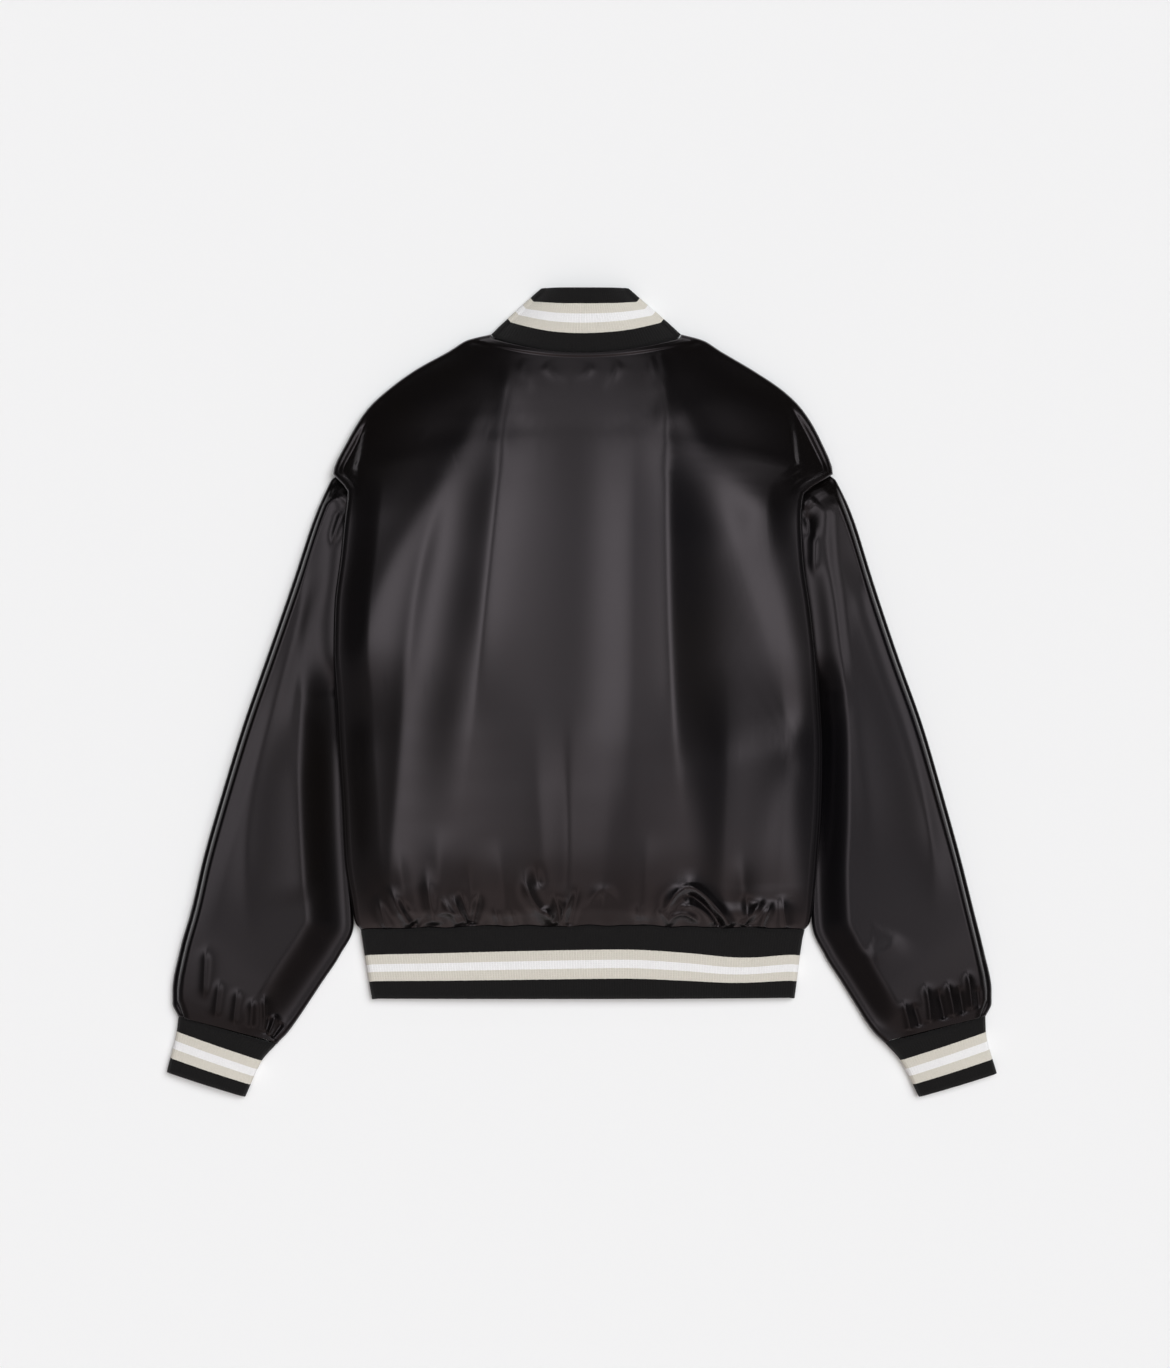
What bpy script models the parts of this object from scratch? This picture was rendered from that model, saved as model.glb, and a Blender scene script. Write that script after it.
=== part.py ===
"""A varsity jacket laid flat on its front, back up, sleeves angled down beside the body.

Every cloth piece is a closed wall. Its outer surface is a grid whose points are worked out from short
tables of sizes, and the wall is thickened inwards. Tables are in millimetres, +X to the right as seen
from above, +Y towards the collar, +Z up from the surface that the jacket lies on.
"""
import math

import bmesh
import bpy

MM = 0.001

# Walls and seams.
SATIN_WALL = 2.2            # shell fabric with its lining
RIB_WALL = 3.5              # doubled knitted rib
SEAM_GAP = 0.35             # between pieces that are sewn together

# The tables' origin is on the centre back. These bring the jacket's box onto the frame's origin.
FRAME_X = -0.25
FRAME_Y = 0.0

# Body, level by level from the hem seam (0) to the neck seam (1). Each row gives the height on the page
# of the panel's middle, and the outermost point of the rolled edge on the left and on the right.
BODY_OUTLINE_COLUMNS = "level mid_y left_x left_y right_x right_y"
BODY_OUTLINE = (
    (0.000, -243.0, 231.0, -248.0, 233.0, -248.0),
    (0.015, -234.5, 236.0, -241.5, 238.0, -240.8),
    (0.050, -211.6, 241.0, -215.8, 242.0, -215.8),
    (0.110, -171.0, 247.5, -174.2, 245.5, -174.2),
    (0.200, -110.0, 250.5, -111.8, 249.5, -111.8),
    (0.275, -58.0, 254.0, -55.0, 250.5, -59.8),
    (0.350, -7.0, 256.0, -7.8, 247.5, -7.8),
    (0.420, 43.0, 258.0, 39.0, 243.5, 39.0),
    (0.490, 96.0, 257.0, 88.0, 238.0, 88.0),
    (0.560, 149.0, 250.5, 142.0, 231.0, 138.0),
    (0.620, 197.0, 246.5, 181.5, 229.0, 179.5),
    (0.655, 228.0, 243.5, 207.5, 231.0, 204.5),
    (0.675, 246.0, 253.0, 219.0, 245.5, 217.0),
    (0.695, 262.0, 262.0, 229.0, 261.0, 229.0),
    (0.745, 283.0, 241.5, 262.6, 247.5, 262.6),
    (0.790, 300.0, 220.5, 294.0, 228.0, 294.0),
    (0.830, 311.5, 198.5, 314.6, 208.0, 314.6),
    (0.880, 324.0, 170.5, 335.4, 177.0, 335.4),
    (0.940, 338.5, 133.0, 356.0, 141.5, 356.0),
    (1.000, 353.0, 95.0, 374.0, 104.0, 374.0),
)

# Heights of the same levels: the crown along the middle, the centre and radius of the rolled side edge,
# and how far in from that edge the back ends. Between ARMPIT and SHOULDER_TIP the back ends at the
# armhole and overhangs the sleeve, elsewhere it meets a front.
BODY_HEIGHT_COLUMNS = "level crown roll_z roll_r tuck"
BODY_HEIGHTS = (
    (0.000, 19.0, 6.5, 5.5, 7.0),
    (0.015, 25.0, 9.0, 6.0, 9.0),
    (0.035, 33.0, 12.0, 6.8, 10.5),
    (0.070, 41.0, 15.0, 8.0, 12.0),
    (0.130, 47.0, 17.0, 8.5, 12.0),
    (0.250, 51.0, 17.8, 8.5, 12.0),
    (0.300, 52.0, 18.6, 8.5, 12.0),
    (0.335, 52.0, 20.4, 8.5, 12.0),
    (0.362, 52.0, 22.4, 8.5, 12.0),
    (0.390, 52.0, 25.0, 8.0, 12.0),
    (0.430, 52.0, 27.5, 7.0, 12.0),
    (0.560, 50.0, 28.0, 7.0, 12.0),
    (0.620, 47.0, 27.0, 7.0, 12.0),
    (0.655, 45.0, 24.0, 6.0, 10.0),
    (0.675, 44.0, 19.0, 5.2, 8.0),
    (0.695, 43.0, 14.0, 4.8, 6.5),
    (0.720, 42.0, 10.0, 5.0, 7.0),
    (0.760, 41.0, 8.5, 5.0, 8.0),
    (0.900, 36.0, 8.5, 5.0, 8.0),
    (1.000, 30.0, 8.5, 5.0, 8.0),
)
ARMPIT = 0.350
ARMHOLE_LOW = 0.362         # first level at which the sleeve is joined to the body
ARMHOLE_HIGH = 0.690        # last such level, just below the shoulder's tip
SHOULDER_LOW = 0.720        # back and front meet again above this level
UNDERARM_DROP = 3.0         # sleeve's edge below the back's at the armpit, where the back rolls over it
UNDERARM_TOP = 0.43         # level above which it lies close under the back
TIP_LEVEL = 0.70            # here the front ends short, clear of the sleeve's first fold
TIP_CLEARANCE = 8.0

# Middle of the fronts, which have a deeper neck than the back.
FRONT_MIDDLE_COLUMNS = "level mid_y"
FRONT_MIDDLE = (
    (0.000, -243.0),
    (0.350, -7.0),
    (0.490, 90.0),
    (0.600, 152.0),
    (0.695, 188.0),
    (0.790, 219.0),
    (0.880, 245.0),
    (1.000, 275.0),
)

BODY_LEVELS = (
    0.0, 0.015, 0.035, 0.06, 0.09, 0.13, 0.18, 0.24, 0.30, 0.35, 0.362, 0.38, 0.40, 0.43, 0.47, 0.515,
    0.56, 0.60, 0.63, 0.655, 0.675, 0.69, 0.72, 0.745, 0.77, 0.80, 0.84, 0.88, 0.92, 0.96, 1.0,
)

# Sleeves. Each ring is a flattened loop between an outer point, on the outline, and an inner point, on
# the fold that lies under the body's edge and then runs free to the cuff. Rings 0 to 1, armhole to cuff.
SLEEVE_COLUMNS = "ring outer_x outer_y inner_x inner_y roll_r loft"
SLEEVE_RIGHT = (
    (0.00, 261.0, 227.0, 236.0, -2.0, 4.2, 22.0),
    (0.10, 281.0, 179.5, 239.5, -65.0, 4.0, 26.0),
    (0.20, 301.5, 117.0, 240.0, -127.0, 4.0, 28.0),
    (0.32, 327.5, 39.0, 238.5, -187.0, 4.0, 29.0),
    (0.45, 353.5, -34.0, 240.5, -242.0, 4.0, 29.0),
    (0.58, 376.5, -112.0, 254.0, -275.0, 4.2, 28.0),
    (0.70, 394.0, -174.0, 271.5, -303.0, 4.5, 27.0),
    (0.80, 407.5, -226.0, 287.0, -328.0, 4.8, 25.0),
    (0.88, 417.0, -268.0, 297.5, -345.0, 5.2, 21.0),
    (0.95, 425.0, -307.0, 307.0, -357.0, 5.8, 13.0),
    (1.00, 422.0, -335.5, 314.5, -363.5, 6.0, 3.0),
)
SLEEVE_LEFT = (
    (0.00, 262.0, 227.0, 244.0, -3.0, 4.2, 22.0),
    (0.10, 279.0, 179.5, 245.5, -65.0, 4.0, 26.0),
    (0.20, 300.0, 117.0, 244.5, -127.0, 4.0, 28.0),
    (0.32, 327.5, 39.0, 241.5, -187.0, 4.0, 29.0),
    (0.45, 352.5, -34.0, 238.5, -242.0, 4.0, 29.0),
    (0.58, 377.0, -112.0, 253.0, -275.0, 4.2, 28.0),
    (0.70, 395.0, -174.0, 271.5, -303.0, 4.5, 27.0),
    (0.80, 406.5, -226.0, 288.0, -328.0, 4.8, 25.0),
    (0.88, 416.0, -268.0, 299.5, -345.0, 5.2, 21.0),
    (0.95, 424.5, -307.0, 309.0, -357.0, 5.8, 13.0),
    (1.00, 421.0, -336.5, 316.5, -365.0, 6.0, 3.0),
)
SLEEVE_RINGS = (
    0.0, 0.02, 0.045, 0.08, 0.12, 0.17, 0.23, 0.30, 0.38, 0.46, 0.54, 0.62, 0.70, 0.78, 0.85, 0.90, 0.94,
    0.975, 1.0,
)
ARMHOLE_BLEND = 0.16        # ring by which the sleeve has left the armhole's line
SLEEVE_HUG = 6.0            # strip beside the body's fold where the sleeve stays low
SLEEVE_INNER_RISE = 62.0    # width over which it rises from its inner side
SLEEVE_OUTER_RISE = 46.0    # and from its outer side
ARMHOLE_FALL = 50.0         # width over which the armhole's height dies away

# Cuffs, from the sleeve's seam (0) to the mouth (1), again as outer and inner points.
CUFF_COLUMNS = "ring outer_x outer_y inner_x inner_y"
CUFF_RIGHT = (
    (0.0, 421.9, -336.3, 314.9, -364.3),
    (0.3, 420.5, -355.2, 332.0, -382.0),
    (1.0, 431.0, -396.8, 351.5, -421.5),
)
CUFF_LEFT = (
    (0.0, 420.9, -337.3, 316.9, -365.8),
    (0.3, 421.5, -356.0, 334.0, -382.5),
    (1.0, 430.5, -394.8, 352.0, -420.5),
)
CUFF_ROLL = 6.0
CUFF_LOFT = 2.5

# Hem band, from its lower edge (0) to the seam (1).
HEM_COLUMNS = "ring mid_y left_x left_y right_x right_y crown"
HEM_BAND = (
    (0.00, -319.5, 219.5, -320.5, 222.5, -319.5, 16.0),
    (0.88, -251.0, 229.8, -257.0, 231.0, -257.0, 18.5),
    (1.00, -243.4, 231.0, -248.4, 233.0, -248.4, 19.0),
)
HEM_ROLL = 6.5

# Collar, from the neck seam (0) to its top edge (1). It narrows upwards on the page because it curls
# forward at the sides, where it folds under and runs down to the front neck.
COLLAR_COLUMNS = "ring mid_y left_x left_y right_x right_y front_y crown"
COLLAR = (
    (0.00, 353.4, 94.8, 374.4, 103.8, 374.4, 275.4, 30.0),
    (0.35, 377.5, 77.5, 390.0, 85.5, 390.0, 299.5, 26.5),
    (0.80, 408.5, 53.5, 412.5, 60.5, 412.5, 330.5, 21.5),
    (1.00, 421.5, 41.5, 421.5, 48.5, 421.5, 344.0, 19.0),
)
COLLAR_ROLL = 5.6
COLLAR_FRONT_GAP = 2.0      # between the collar's two front ends

# Front closing: the left front laps over the right one, with press studs through the middle.
LAP = 12.5                  # each front's reach past the centre
LAP_ROOM = 1.0              # flat stretch beside the other front's edge
LAP_RAMP = 9.0              # width over which a front is lifted to its lap
LEFT_LIFT = 1.6             # leaves room for the studs' caps below the outer lap
RIGHT_LIFT = 4.3            # lies over the left lap
BAND_RIGHT_LIFT = 4.2
LAP_COLUMNS = (-LAP, 0.0, LAP + LAP_ROOM, LAP + LAP_ROOM + LAP_RAMP)
STUD_COUNT = 6
STUD_RADIUS = 7.5
STUD_CAP = 1.2
STUD_BEVEL = 0.35
STUD_SIDES = 14
STUD_LOW_Y = -222.0
STUD_HIGH_Y = 252.0

# Largest folds of the back, each a soft ridge (or trough, where height is negative) along a curve
# through three points.
FOLD_COLUMNS = "high_y high_x mid_x low_x low_y width height"
BACK_FOLDS = (
    (352.0, -72.0, -96.0, -127.0, -225.0, 12.0, 3.0),
    (285.0, -100.0, -160.0, -236.0, 5.0, 24.0, 4.0),
    (105.0, -160.0, -190.0, -174.0, -240.0, 16.0, 3.5),
    (180.0, -121.0, -150.0, -178.0, -215.0, 14.0, -3.5),
    (345.0, 58.0, 27.0, 60.0, -215.0, 24.0, 4.5),
    (334.0, 87.0, 99.0, 123.0, -175.0, 16.0, 3.0),
    (325.0, 112.0, 143.0, 112.0, -215.0, 17.0, -4.0),
    (60.0, 150.0, 190.0, 170.0, -170.0, 24.0, 3.0),
    (-40.0, -54.0, -54.0, -50.0, -225.0, 12.0, 2.5),
    (-60.0, -20.0, -18.0, -22.0, -225.0, 10.0, -2.0),
)
FOLD_FADE = 55.0            # length over which a fold dies away at each end
EDGE_FADE = 34.0            # width beside the rolled edge that folds leave smooth

# Gathers above the hem seam and above the cuffs.
HEM_GATHERS = 15
HEM_GATHER_DEPTH = 1.7
HEM_GATHER_LENGTH = 42.0
CUFF_GATHERS = 4.0
CUFF_GATHER_DEPTH = 1.6
CUFF_GATHER_RINGS = 0.16

# Drop of the back's surface at the armhole's upper crease, beside the dropped shoulder.
CREASE_X = 222.0
CREASE_LOW_Y = 205.0
CREASE_HIGH_Y = 300.0
CREASE_DEPTH = 6.0
CREASE_WIDTH = 14.0

# Grid divisions.
TOP_COLUMNS = 15
ROLL_COLUMNS = 4
RAMP_COLUMNS = 4
FRONT_COLUMNS = 5
RAMP_WIDTH = 22.0           # width over which a front rises to the side seam
CUFF_COLUMNS_ACROSS = 10
COLLAR_ROWS = 5
BAND_ROWS = 2

BLACK_SATIN = (0.012, 0.011, 0.012, 1.0)
CREAM_RIB = (0.60, 0.58, 0.52, 1.0)
BLACK_METAL = (0.02, 0.02, 0.02, 1.0)


# Tables and curves -------------------------------------------------------------------------------

def curve_through(keys, values):
    """A smooth function through the values, which never overshoots them."""
    steps = [b - a for a, b in zip(keys, keys[1:])]
    rises = [(b - a) / step for a, b, step in zip(values, values[1:], steps)]
    slopes = [rises[0]]
    for before, after in zip(rises, rises[1:]):
        slopes.append(2 * before * after / (before + after) if before * after > 0 else 0.0)
    slopes.append(rises[-1])

    def value(key):
        key = min(max(key, keys[0]), keys[-1])
        i = 0
        while i < len(steps) - 1 and key > keys[i + 1]:
            i += 1
        t = (key - keys[i]) / steps[i]
        lead = (1 - t) ** 2 * (1 + 2 * t) * values[i] + (1 - t) ** 2 * t * slopes[i] * steps[i]
        tail = t * t * (3 - 2 * t) * values[i + 1] - t * t * (1 - t) * slopes[i + 1] * steps[i]
        return lead + tail

    return value


def read_table(columns, rows):
    """Each named column of a table as a smooth function of its first column."""
    names = columns.split()
    keys = [row[0] for row in rows]
    return {name: curve_through(keys, [row[i] for row in rows]) for i, name in enumerate(names) if i}


def smooth(t):
    t = min(max(t, 0.0), 1.0)
    return t * t * (3 - 2 * t)


def mix(a, b, t):
    return a + (b - a) * t


def unit(x, y):
    length = math.hypot(x, y)
    return x / length, y / length


def nearest_on(path, x, y):
    """Distance to a path of points, and the place along it, counted in points."""
    best = (1e9, 0.0)
    for i in range(len(path) - 1):
        ax, ay = path[i][0], path[i][1]
        bx, by = path[i + 1][0] - ax, path[i + 1][1] - ay
        t = min(max(((x - ax) * bx + (y - ay) * by) / (bx * bx + by * by), 0.0), 1.0)
        best = min(best, (math.hypot(x - ax - t * bx, y - ay - t * by), i + t))
    return best


OUTLINE = read_table(BODY_OUTLINE_COLUMNS, BODY_OUTLINE)
HEIGHTS = read_table(BODY_HEIGHT_COLUMNS, BODY_HEIGHTS)
FRONT_Y = read_table(FRONT_MIDDLE_COLUMNS, FRONT_MIDDLE)["mid_y"]


# The body's form ---------------------------------------------------------------------------------

def edge_point(table, side, level):
    """Outermost point of a rolled side edge; side is -1 on the left and 1 on the right."""
    name = "left" if side < 0 else "right"
    return side * table[name + "_x"](level), table[name + "_y"](level)


def inward(table, side, level, reach=0.02, low=0.03, high=0.97):
    """Direction on the page that points into the piece, square to its side edge."""
    level = min(max(level, low), high)
    x0, y0 = edge_point(table, side, level - reach)
    x1, y1 = edge_point(table, side, level + reach)
    tx, ty = unit(x1 - x0, y1 - y0)
    return (-ty * side, tx * side)


def body_section(side, level):
    """What a cross-section of the body needs on one side."""
    ex, ey = edge_point(OUTLINE, side, level)
    nx, ny = inward(OUTLINE, side, level)
    return {
        "edge": (ex, ey), "inward": (nx, ny), "mid_y": OUTLINE["mid_y"](level),
        "crown": HEIGHTS["crown"](level), "roll_z": HEIGHTS["roll_z"](level),
        "roll_r": HEIGHTS["roll_r"](level), "tuck": HEIGHTS["tuck"](level),
    }


def inset(section, distance):
    ex, ey = section["edge"]
    nx, ny = section["inward"]
    return ex + distance * nx, ey + distance * ny


def dome(share):
    """Height of a lofted panel from its edge (0) to its middle (1)."""
    return 1.0 - (1.0 - share) ** 3.2


def top_point(section, share):
    """Point of an upper layer, from the middle (0) to where the side roll starts (1)."""
    bx, by = inset(section, section["roll_r"])
    low = section["roll_z"] + section["roll_r"]
    z = mix(low, section["crown"], dome(1.0 - share))
    return share * bx, mix(section["mid_y"], by, share * share), z


def roll_point(section, turn):
    """Point of the side roll, from the top (0) round the outside to the bottom (1)."""
    angle = math.pi * (0.5 - turn)
    radius = section["roll_r"]
    x, y = inset(section, radius * (1.0 - math.cos(angle)))
    return x, y, section["roll_z"] + radius * math.sin(angle)


def fold_height(x, y):
    """Sum of the back's large folds at a place on the page."""
    names = FOLD_COLUMNS.split()
    total = 0.0
    for row in BACK_FOLDS:
        fold = dict(zip(names, row))
        t = (fold["high_y"] - y) / (fold["high_y"] - fold["low_y"])
        if t < 0.0 or t > 1.0:
            continue
        line = mix(mix(fold["high_x"], fold["mid_x"], 2 * t), mix(fold["mid_x"], fold["low_x"], 2 * t - 1), t)
        ends = smooth((fold["high_y"] - y) / FOLD_FADE) * smooth((y - fold["low_y"]) / FOLD_FADE)
        total += fold["height"] * ends * math.exp(-((x - line) / fold["width"]) ** 2)
    return total


def gather_height(x, y):
    """Uneven gathers that fade upwards from the hem seam."""
    fade = 1.0 - smooth((y - OUTLINE["mid_y"](0.0)) / HEM_GATHER_LENGTH)
    phase = math.pi * HEM_GATHERS * x / 235.0
    return HEM_GATHER_DEPTH * fade * (math.sin(phase) + 0.6 * math.sin(0.43 * phase + 1.3))


def crease_drop(x, y):
    """The shoulder beside the armhole lies lower than the back's fold."""
    along = smooth((y - CREASE_LOW_Y) / 30.0) * smooth((CREASE_HIGH_Y - y) / 60.0)
    return CREASE_DEPTH * along * smooth((abs(x) - CREASE_X + CREASE_WIDTH) / CREASE_WIDTH)


def back_point(side, level, column):
    """Outer surface of the back, column 0 on the centre and rising to the seam."""
    section = body_section(side, level)
    if column <= TOP_COLUMNS:
        x, y, z = top_point(section, column / TOP_COLUMNS)
        ex, ey = section["edge"]
        calm = smooth(math.hypot(x - ex, y - ey) / EDGE_FADE)
        lowest = section["roll_z"] + section["roll_r"]
        z += calm * (fold_height(x, y) + gather_height(x, y)) - crease_drop(x, y) * calm
        return x, y, max(z, lowest - 1.0)
    if column <= TOP_COLUMNS + ROLL_COLUMNS:
        return roll_point(section, (column - TOP_COLUMNS) / ROLL_COLUMNS)
    x, y = inset(section, section["tuck"])
    return x, y, section["roll_z"] - section["roll_r"]


def front_seam(side, level):
    """Outer end of a front: side seam, armhole edge or shoulder seam."""
    section = body_section(side, level)
    short = TIP_CLEARANCE * smooth(2.0 - abs(level - TIP_LEVEL) / 0.02)
    x, y = inset(section, section["tuck"] + SEAM_GAP + short)
    joined = level <= ARMPIT or level >= SHOULDER_LOW
    return x, y, section["roll_z"] - section["roll_r"] if joined else 0.0


def lap_lift(side, x, lift_left, lift_right):
    """How far a front is lifted off the surface near the closing."""
    lift = lift_left if side < 0 else lift_right
    return lift * smooth((LAP + LAP_ROOM + LAP_RAMP - side * x) / LAP_RAMP)


def front_point(side, level, column):
    """Outer surface of a front, column 0 at its own edge past the centre."""
    sx, sy, sz = front_seam(side, level)
    last_lap = len(LAP_COLUMNS) - 1
    if column <= last_lap:
        x = side * LAP_COLUMNS[column]
    elif column <= last_lap + FRONT_COLUMNS:
        start = side * LAP_COLUMNS[-1]
        x = mix(start, sx - side * RAMP_WIDTH, (column - last_lap) / FRONT_COLUMNS)
    else:
        step = (column - last_lap - FRONT_COLUMNS) / RAMP_COLUMNS
        x = mix(sx - side * RAMP_WIDTH, sx, step)
    share = max(side * x, 0.0) / (side * sx)
    mid_y = FRONT_Y(level)
    rise = max(1.0 - side * (sx - x) / RAMP_WIDTH, 0.0) ** 1.6
    return x, mix(mid_y, sy, share * share), sz * rise + lap_lift(side, x, LEFT_LIFT, RIGHT_LIFT)


# The sleeve's form -------------------------------------------------------------------------------

def armhole_levels():
    return [level for level in reversed(BODY_LEVELS) if ARMHOLE_LOW <= level <= ARMHOLE_HIGH]


def armhole_point(side, level):
    """Sleeve's upper edge at the armhole, just under the back's end."""
    section = body_section(side, level)
    x, y = inset(section, section["tuck"])
    drop = SEAM_GAP + UNDERARM_DROP * smooth((UNDERARM_TOP - level) / (UNDERARM_TOP - ARMPIT))
    return x, y, section["roll_z"] - section["roll_r"] - drop


def sleeve_path(table, side, which):
    """Plan path of a sleeve's outer or inner fold."""
    samples = [i / 24 for i in range(25)]
    return [(side * table[which + "_x"](k), table[which + "_y"](k)) for k in samples]


def path_inward(table, side, which, ring):
    """Direction into the sleeve, square to one of its folds."""
    ring = min(max(ring, 0.04), 0.92)
    x0, y0 = table[which + "_x"](ring - 0.03), table[which + "_y"](ring - 0.03)
    x1, y1 = table[which + "_x"](ring + 0.03), table[which + "_y"](ring + 0.03)
    tx, ty = unit(x1 - x0, y1 - y0)
    turn = 1.0 if which == "outer" else -1.0
    return turn * ty * side, -turn * tx


def sleeve_gather(ring, share):
    fade = smooth((ring - 1.0 + CUFF_GATHER_RINGS) / (0.6 * CUFF_GATHER_RINGS))
    wave = math.sin(2 * math.pi * CUFF_GATHERS * share + 0.7)
    return CUFF_GATHER_DEPTH * fade * wave * smooth(4 * share) * smooth(4 * (1 - share))


def sleeve_ring(side, rows, ring):
    """One closed ring of the sleeve's outer surface."""
    table = read_table(SLEEVE_COLUMNS, rows)
    levels = armhole_levels()
    seam = [armhole_point(side, level) for level in levels]
    outer_path = sleeve_path(table, side, "outer")
    inner_path = seam + sleeve_path(table, side, "inner")
    radius = table["roll_r"](ring)
    leave = math.sin(math.pi / 2 * min(ring / ARMHOLE_BLEND, 1.0))
    outer_in = path_inward(table, side, "outer", ring)
    inner_in = path_inward(table, side, "inner", ring)
    outer = (side * table["outer_x"](ring), table["outer_y"](ring))
    inner = (side * table["inner_x"](ring), table["inner_y"](ring))
    start = (outer[0] + radius * outer_in[0], outer[1] + radius * outer_in[1])
    end = (inner[0] + radius * inner_in[0], inner[1] + radius * inner_in[1])

    top = []
    bottom = []
    for level, (seam_x, seam_y, seam_z) in zip(levels, seam):
        share = (levels[0] - level) / (levels[0] - levels[-1])
        x = mix(seam_x, mix(start[0], end[0], share), leave)
        y = mix(seam_y, mix(start[1], end[1], share), leave)
        from_armhole, place = nearest_on(seam, x, y)
        i = min(int(place), len(seam) - 2)
        local_z = mix(seam[i][2], seam[i + 1][2], place - i)
        base = mix(local_z, 2 * radius, smooth(from_armhole / ARMHOLE_FALL))
        from_inner = nearest_on(inner_path, x, y)[0]
        from_outer = nearest_on(outer_path, x, y)[0]
        rise = smooth((from_inner - SLEEVE_HUG) / SLEEVE_INNER_RISE)
        rise *= 1.0 - (1.0 - min(max(from_outer - radius, 0.0) / SLEEVE_OUTER_RISE, 1.0)) ** 2.2
        z = base + table["loft"](ring) * rise + sleeve_gather(ring, share)
        top.append((x, y, z))
        bottom.append((x, y, 0.0))

    points = list(top)
    for a, b, direction, away in (
        (top[-1], bottom[-1], inner_in, (0.0, 1.0)),
        (bottom[0], top[0], outer_in, body_section(side, ARMHOLE_HIGH)["inward"]),
    ):
        if a is bottom[0]:
            points += bottom[::-1]
        centre_z = (a[2] + b[2]) / 2
        reach = abs(a[2] - b[2]) / 2
        dx, dy = unit(mix(away[0], direction[0], leave), mix(away[1], direction[1], leave))
        for j in range(1, ROLL_COLUMNS):
            angle = math.pi * j / ROLL_COLUMNS
            z = centre_z + math.copysign(reach, a[2] - b[2]) * math.cos(angle)
            out = radius * math.sin(angle)
            points.append((a[0] - out * dx, a[1] - out * dy, z))
    return points


# Bands ------------------------------------------------------------------------------------------

def cuff_ring(side, rows, ring):
    """One closed ring of a cuff's outer surface."""
    table = read_table(CUFF_COLUMNS, rows)
    ox, oy = side * table["outer_x"](ring), table["outer_y"](ring)
    ix, iy = side * table["inner_x"](ring), table["inner_y"](ring)
    dx, dy = unit(ix - ox, iy - oy)
    width = math.hypot(ix - ox, iy - oy) - 2 * CUFF_ROLL
    across = [CUFF_ROLL + width * i / CUFF_COLUMNS_ACROSS for i in range(CUFF_COLUMNS_ACROSS + 1)]
    points = []
    for d in across:
        z = 2 * CUFF_ROLL + CUFF_LOFT * math.sin(math.pi * (d - CUFF_ROLL) / width)
        points.append((ox + d * dx, oy + d * dy, z))
    for j in range(1, ROLL_COLUMNS):
        angle = math.pi * j / ROLL_COLUMNS
        d = across[-1] + CUFF_ROLL * math.sin(angle)
        points.append((ox + d * dx, oy + d * dy, CUFF_ROLL + CUFF_ROLL * math.cos(angle)))
    for d in reversed(across):
        points.append((ox + d * dx, oy + d * dy, 0.0))
    for j in range(1, ROLL_COLUMNS):
        angle = math.pi * j / ROLL_COLUMNS
        d = across[0] - CUFF_ROLL * math.sin(angle)
        points.append((ox + d * dx, oy + d * dy, CUFF_ROLL - CUFF_ROLL * math.cos(angle)))
    return points


def band_row(table, ring, roll, front_y, front_columns, top_columns, ends, lifts):
    """One line round an open band: left front end, left roll, back, right roll, right front end."""
    halves = {}
    for side in (-1, 1):
        section = {
            "edge": edge_point(table, side, ring), "inward": inward(table, side, ring, high=0.85),
            "mid_y": table["mid_y"](ring), "crown": table["crown"](ring), "roll_z": roll, "roll_r": roll,
        }
        half = [top_point(section, i / top_columns) for i in range(top_columns + 1)]
        half += [roll_point(section, j / ROLL_COLUMNS) for j in range(1, ROLL_COLUMNS + 1)]
        bx, by = inset(section, roll)
        stops = [mix(bx, side * ends[0], i / front_columns) for i in range(1, front_columns)]
        for x in stops + [side * end for end in ends]:
            share = max(side * x, 0.0) / (side * bx)
            half.append((x, mix(front_y, by, share * share), lap_lift(side, x, *lifts)))
        halves[side] = half
    return halves[-1][:0:-1] + halves[1]


# Objects ----------------------------------------------------------------------------------------

def clear_scene():
    for old in list(bpy.data.objects):
        bpy.data.objects.remove(old, do_unlink=True)


def material(name, colour, roughness, metallic=0.0):
    made = bpy.data.materials.get(name) or bpy.data.materials.new(name)
    made.use_nodes = True
    shader = made.node_tree.nodes["Principled BSDF"]
    shader.inputs["Base Color"].default_value = colour
    shader.inputs["Roughness"].default_value = roughness
    shader.inputs["Metallic"].default_value = metallic
    return made


def satin():
    return material("black_satin", BLACK_SATIN, 0.35)


def rib():
    return material("striped_rib", CREAM_RIB, 0.85)


def stud_metal():
    return material("painted_stud", BLACK_METAL, 0.4, 1.0)


def add_object(name, mesh, finish):
    made = bpy.data.objects.new(name, mesh)
    mesh.materials.append(finish)
    bpy.context.scene.collection.objects.link(made)
    mesh.shade_smooth()
    mesh.set_sharp_from_angle(angle=math.radians(50))
    return made


def wall(name, rows, finish, thickness, closed, flip):
    """A cloth wall through rows of outer points, thickened inwards."""
    columns = len(rows[0])
    shape = bmesh.new()
    bmesh.ops.create_grid(shape, x_segments=columns - 1, y_segments=len(rows) - 1, size=1.0)
    for vert in shape.verts:
        column = round((vert.co.x + 1.0) / 2.0 * (columns - 1))
        row = round((vert.co.y + 1.0) / 2.0 * (len(rows) - 1))
        x, y, z = rows[row][column]
        vert.co = ((x + FRAME_X) * MM, (y + FRAME_Y) * MM, z * MM)
    if closed:
        bmesh.ops.remove_doubles(shape, verts=shape.verts, dist=1e-6)
    if flip:
        bmesh.ops.reverse_faces(shape, faces=shape.faces)
    mesh = bpy.data.meshes.new(name)
    shape.to_mesh(mesh)
    shape.free()
    made = add_object(name, mesh, finish)
    thick = made.modifiers.new("wall", "SOLIDIFY")
    thick.thickness = thickness * MM
    thick.offset = -1.0
    thick.use_even_offset = False
    return made


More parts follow.
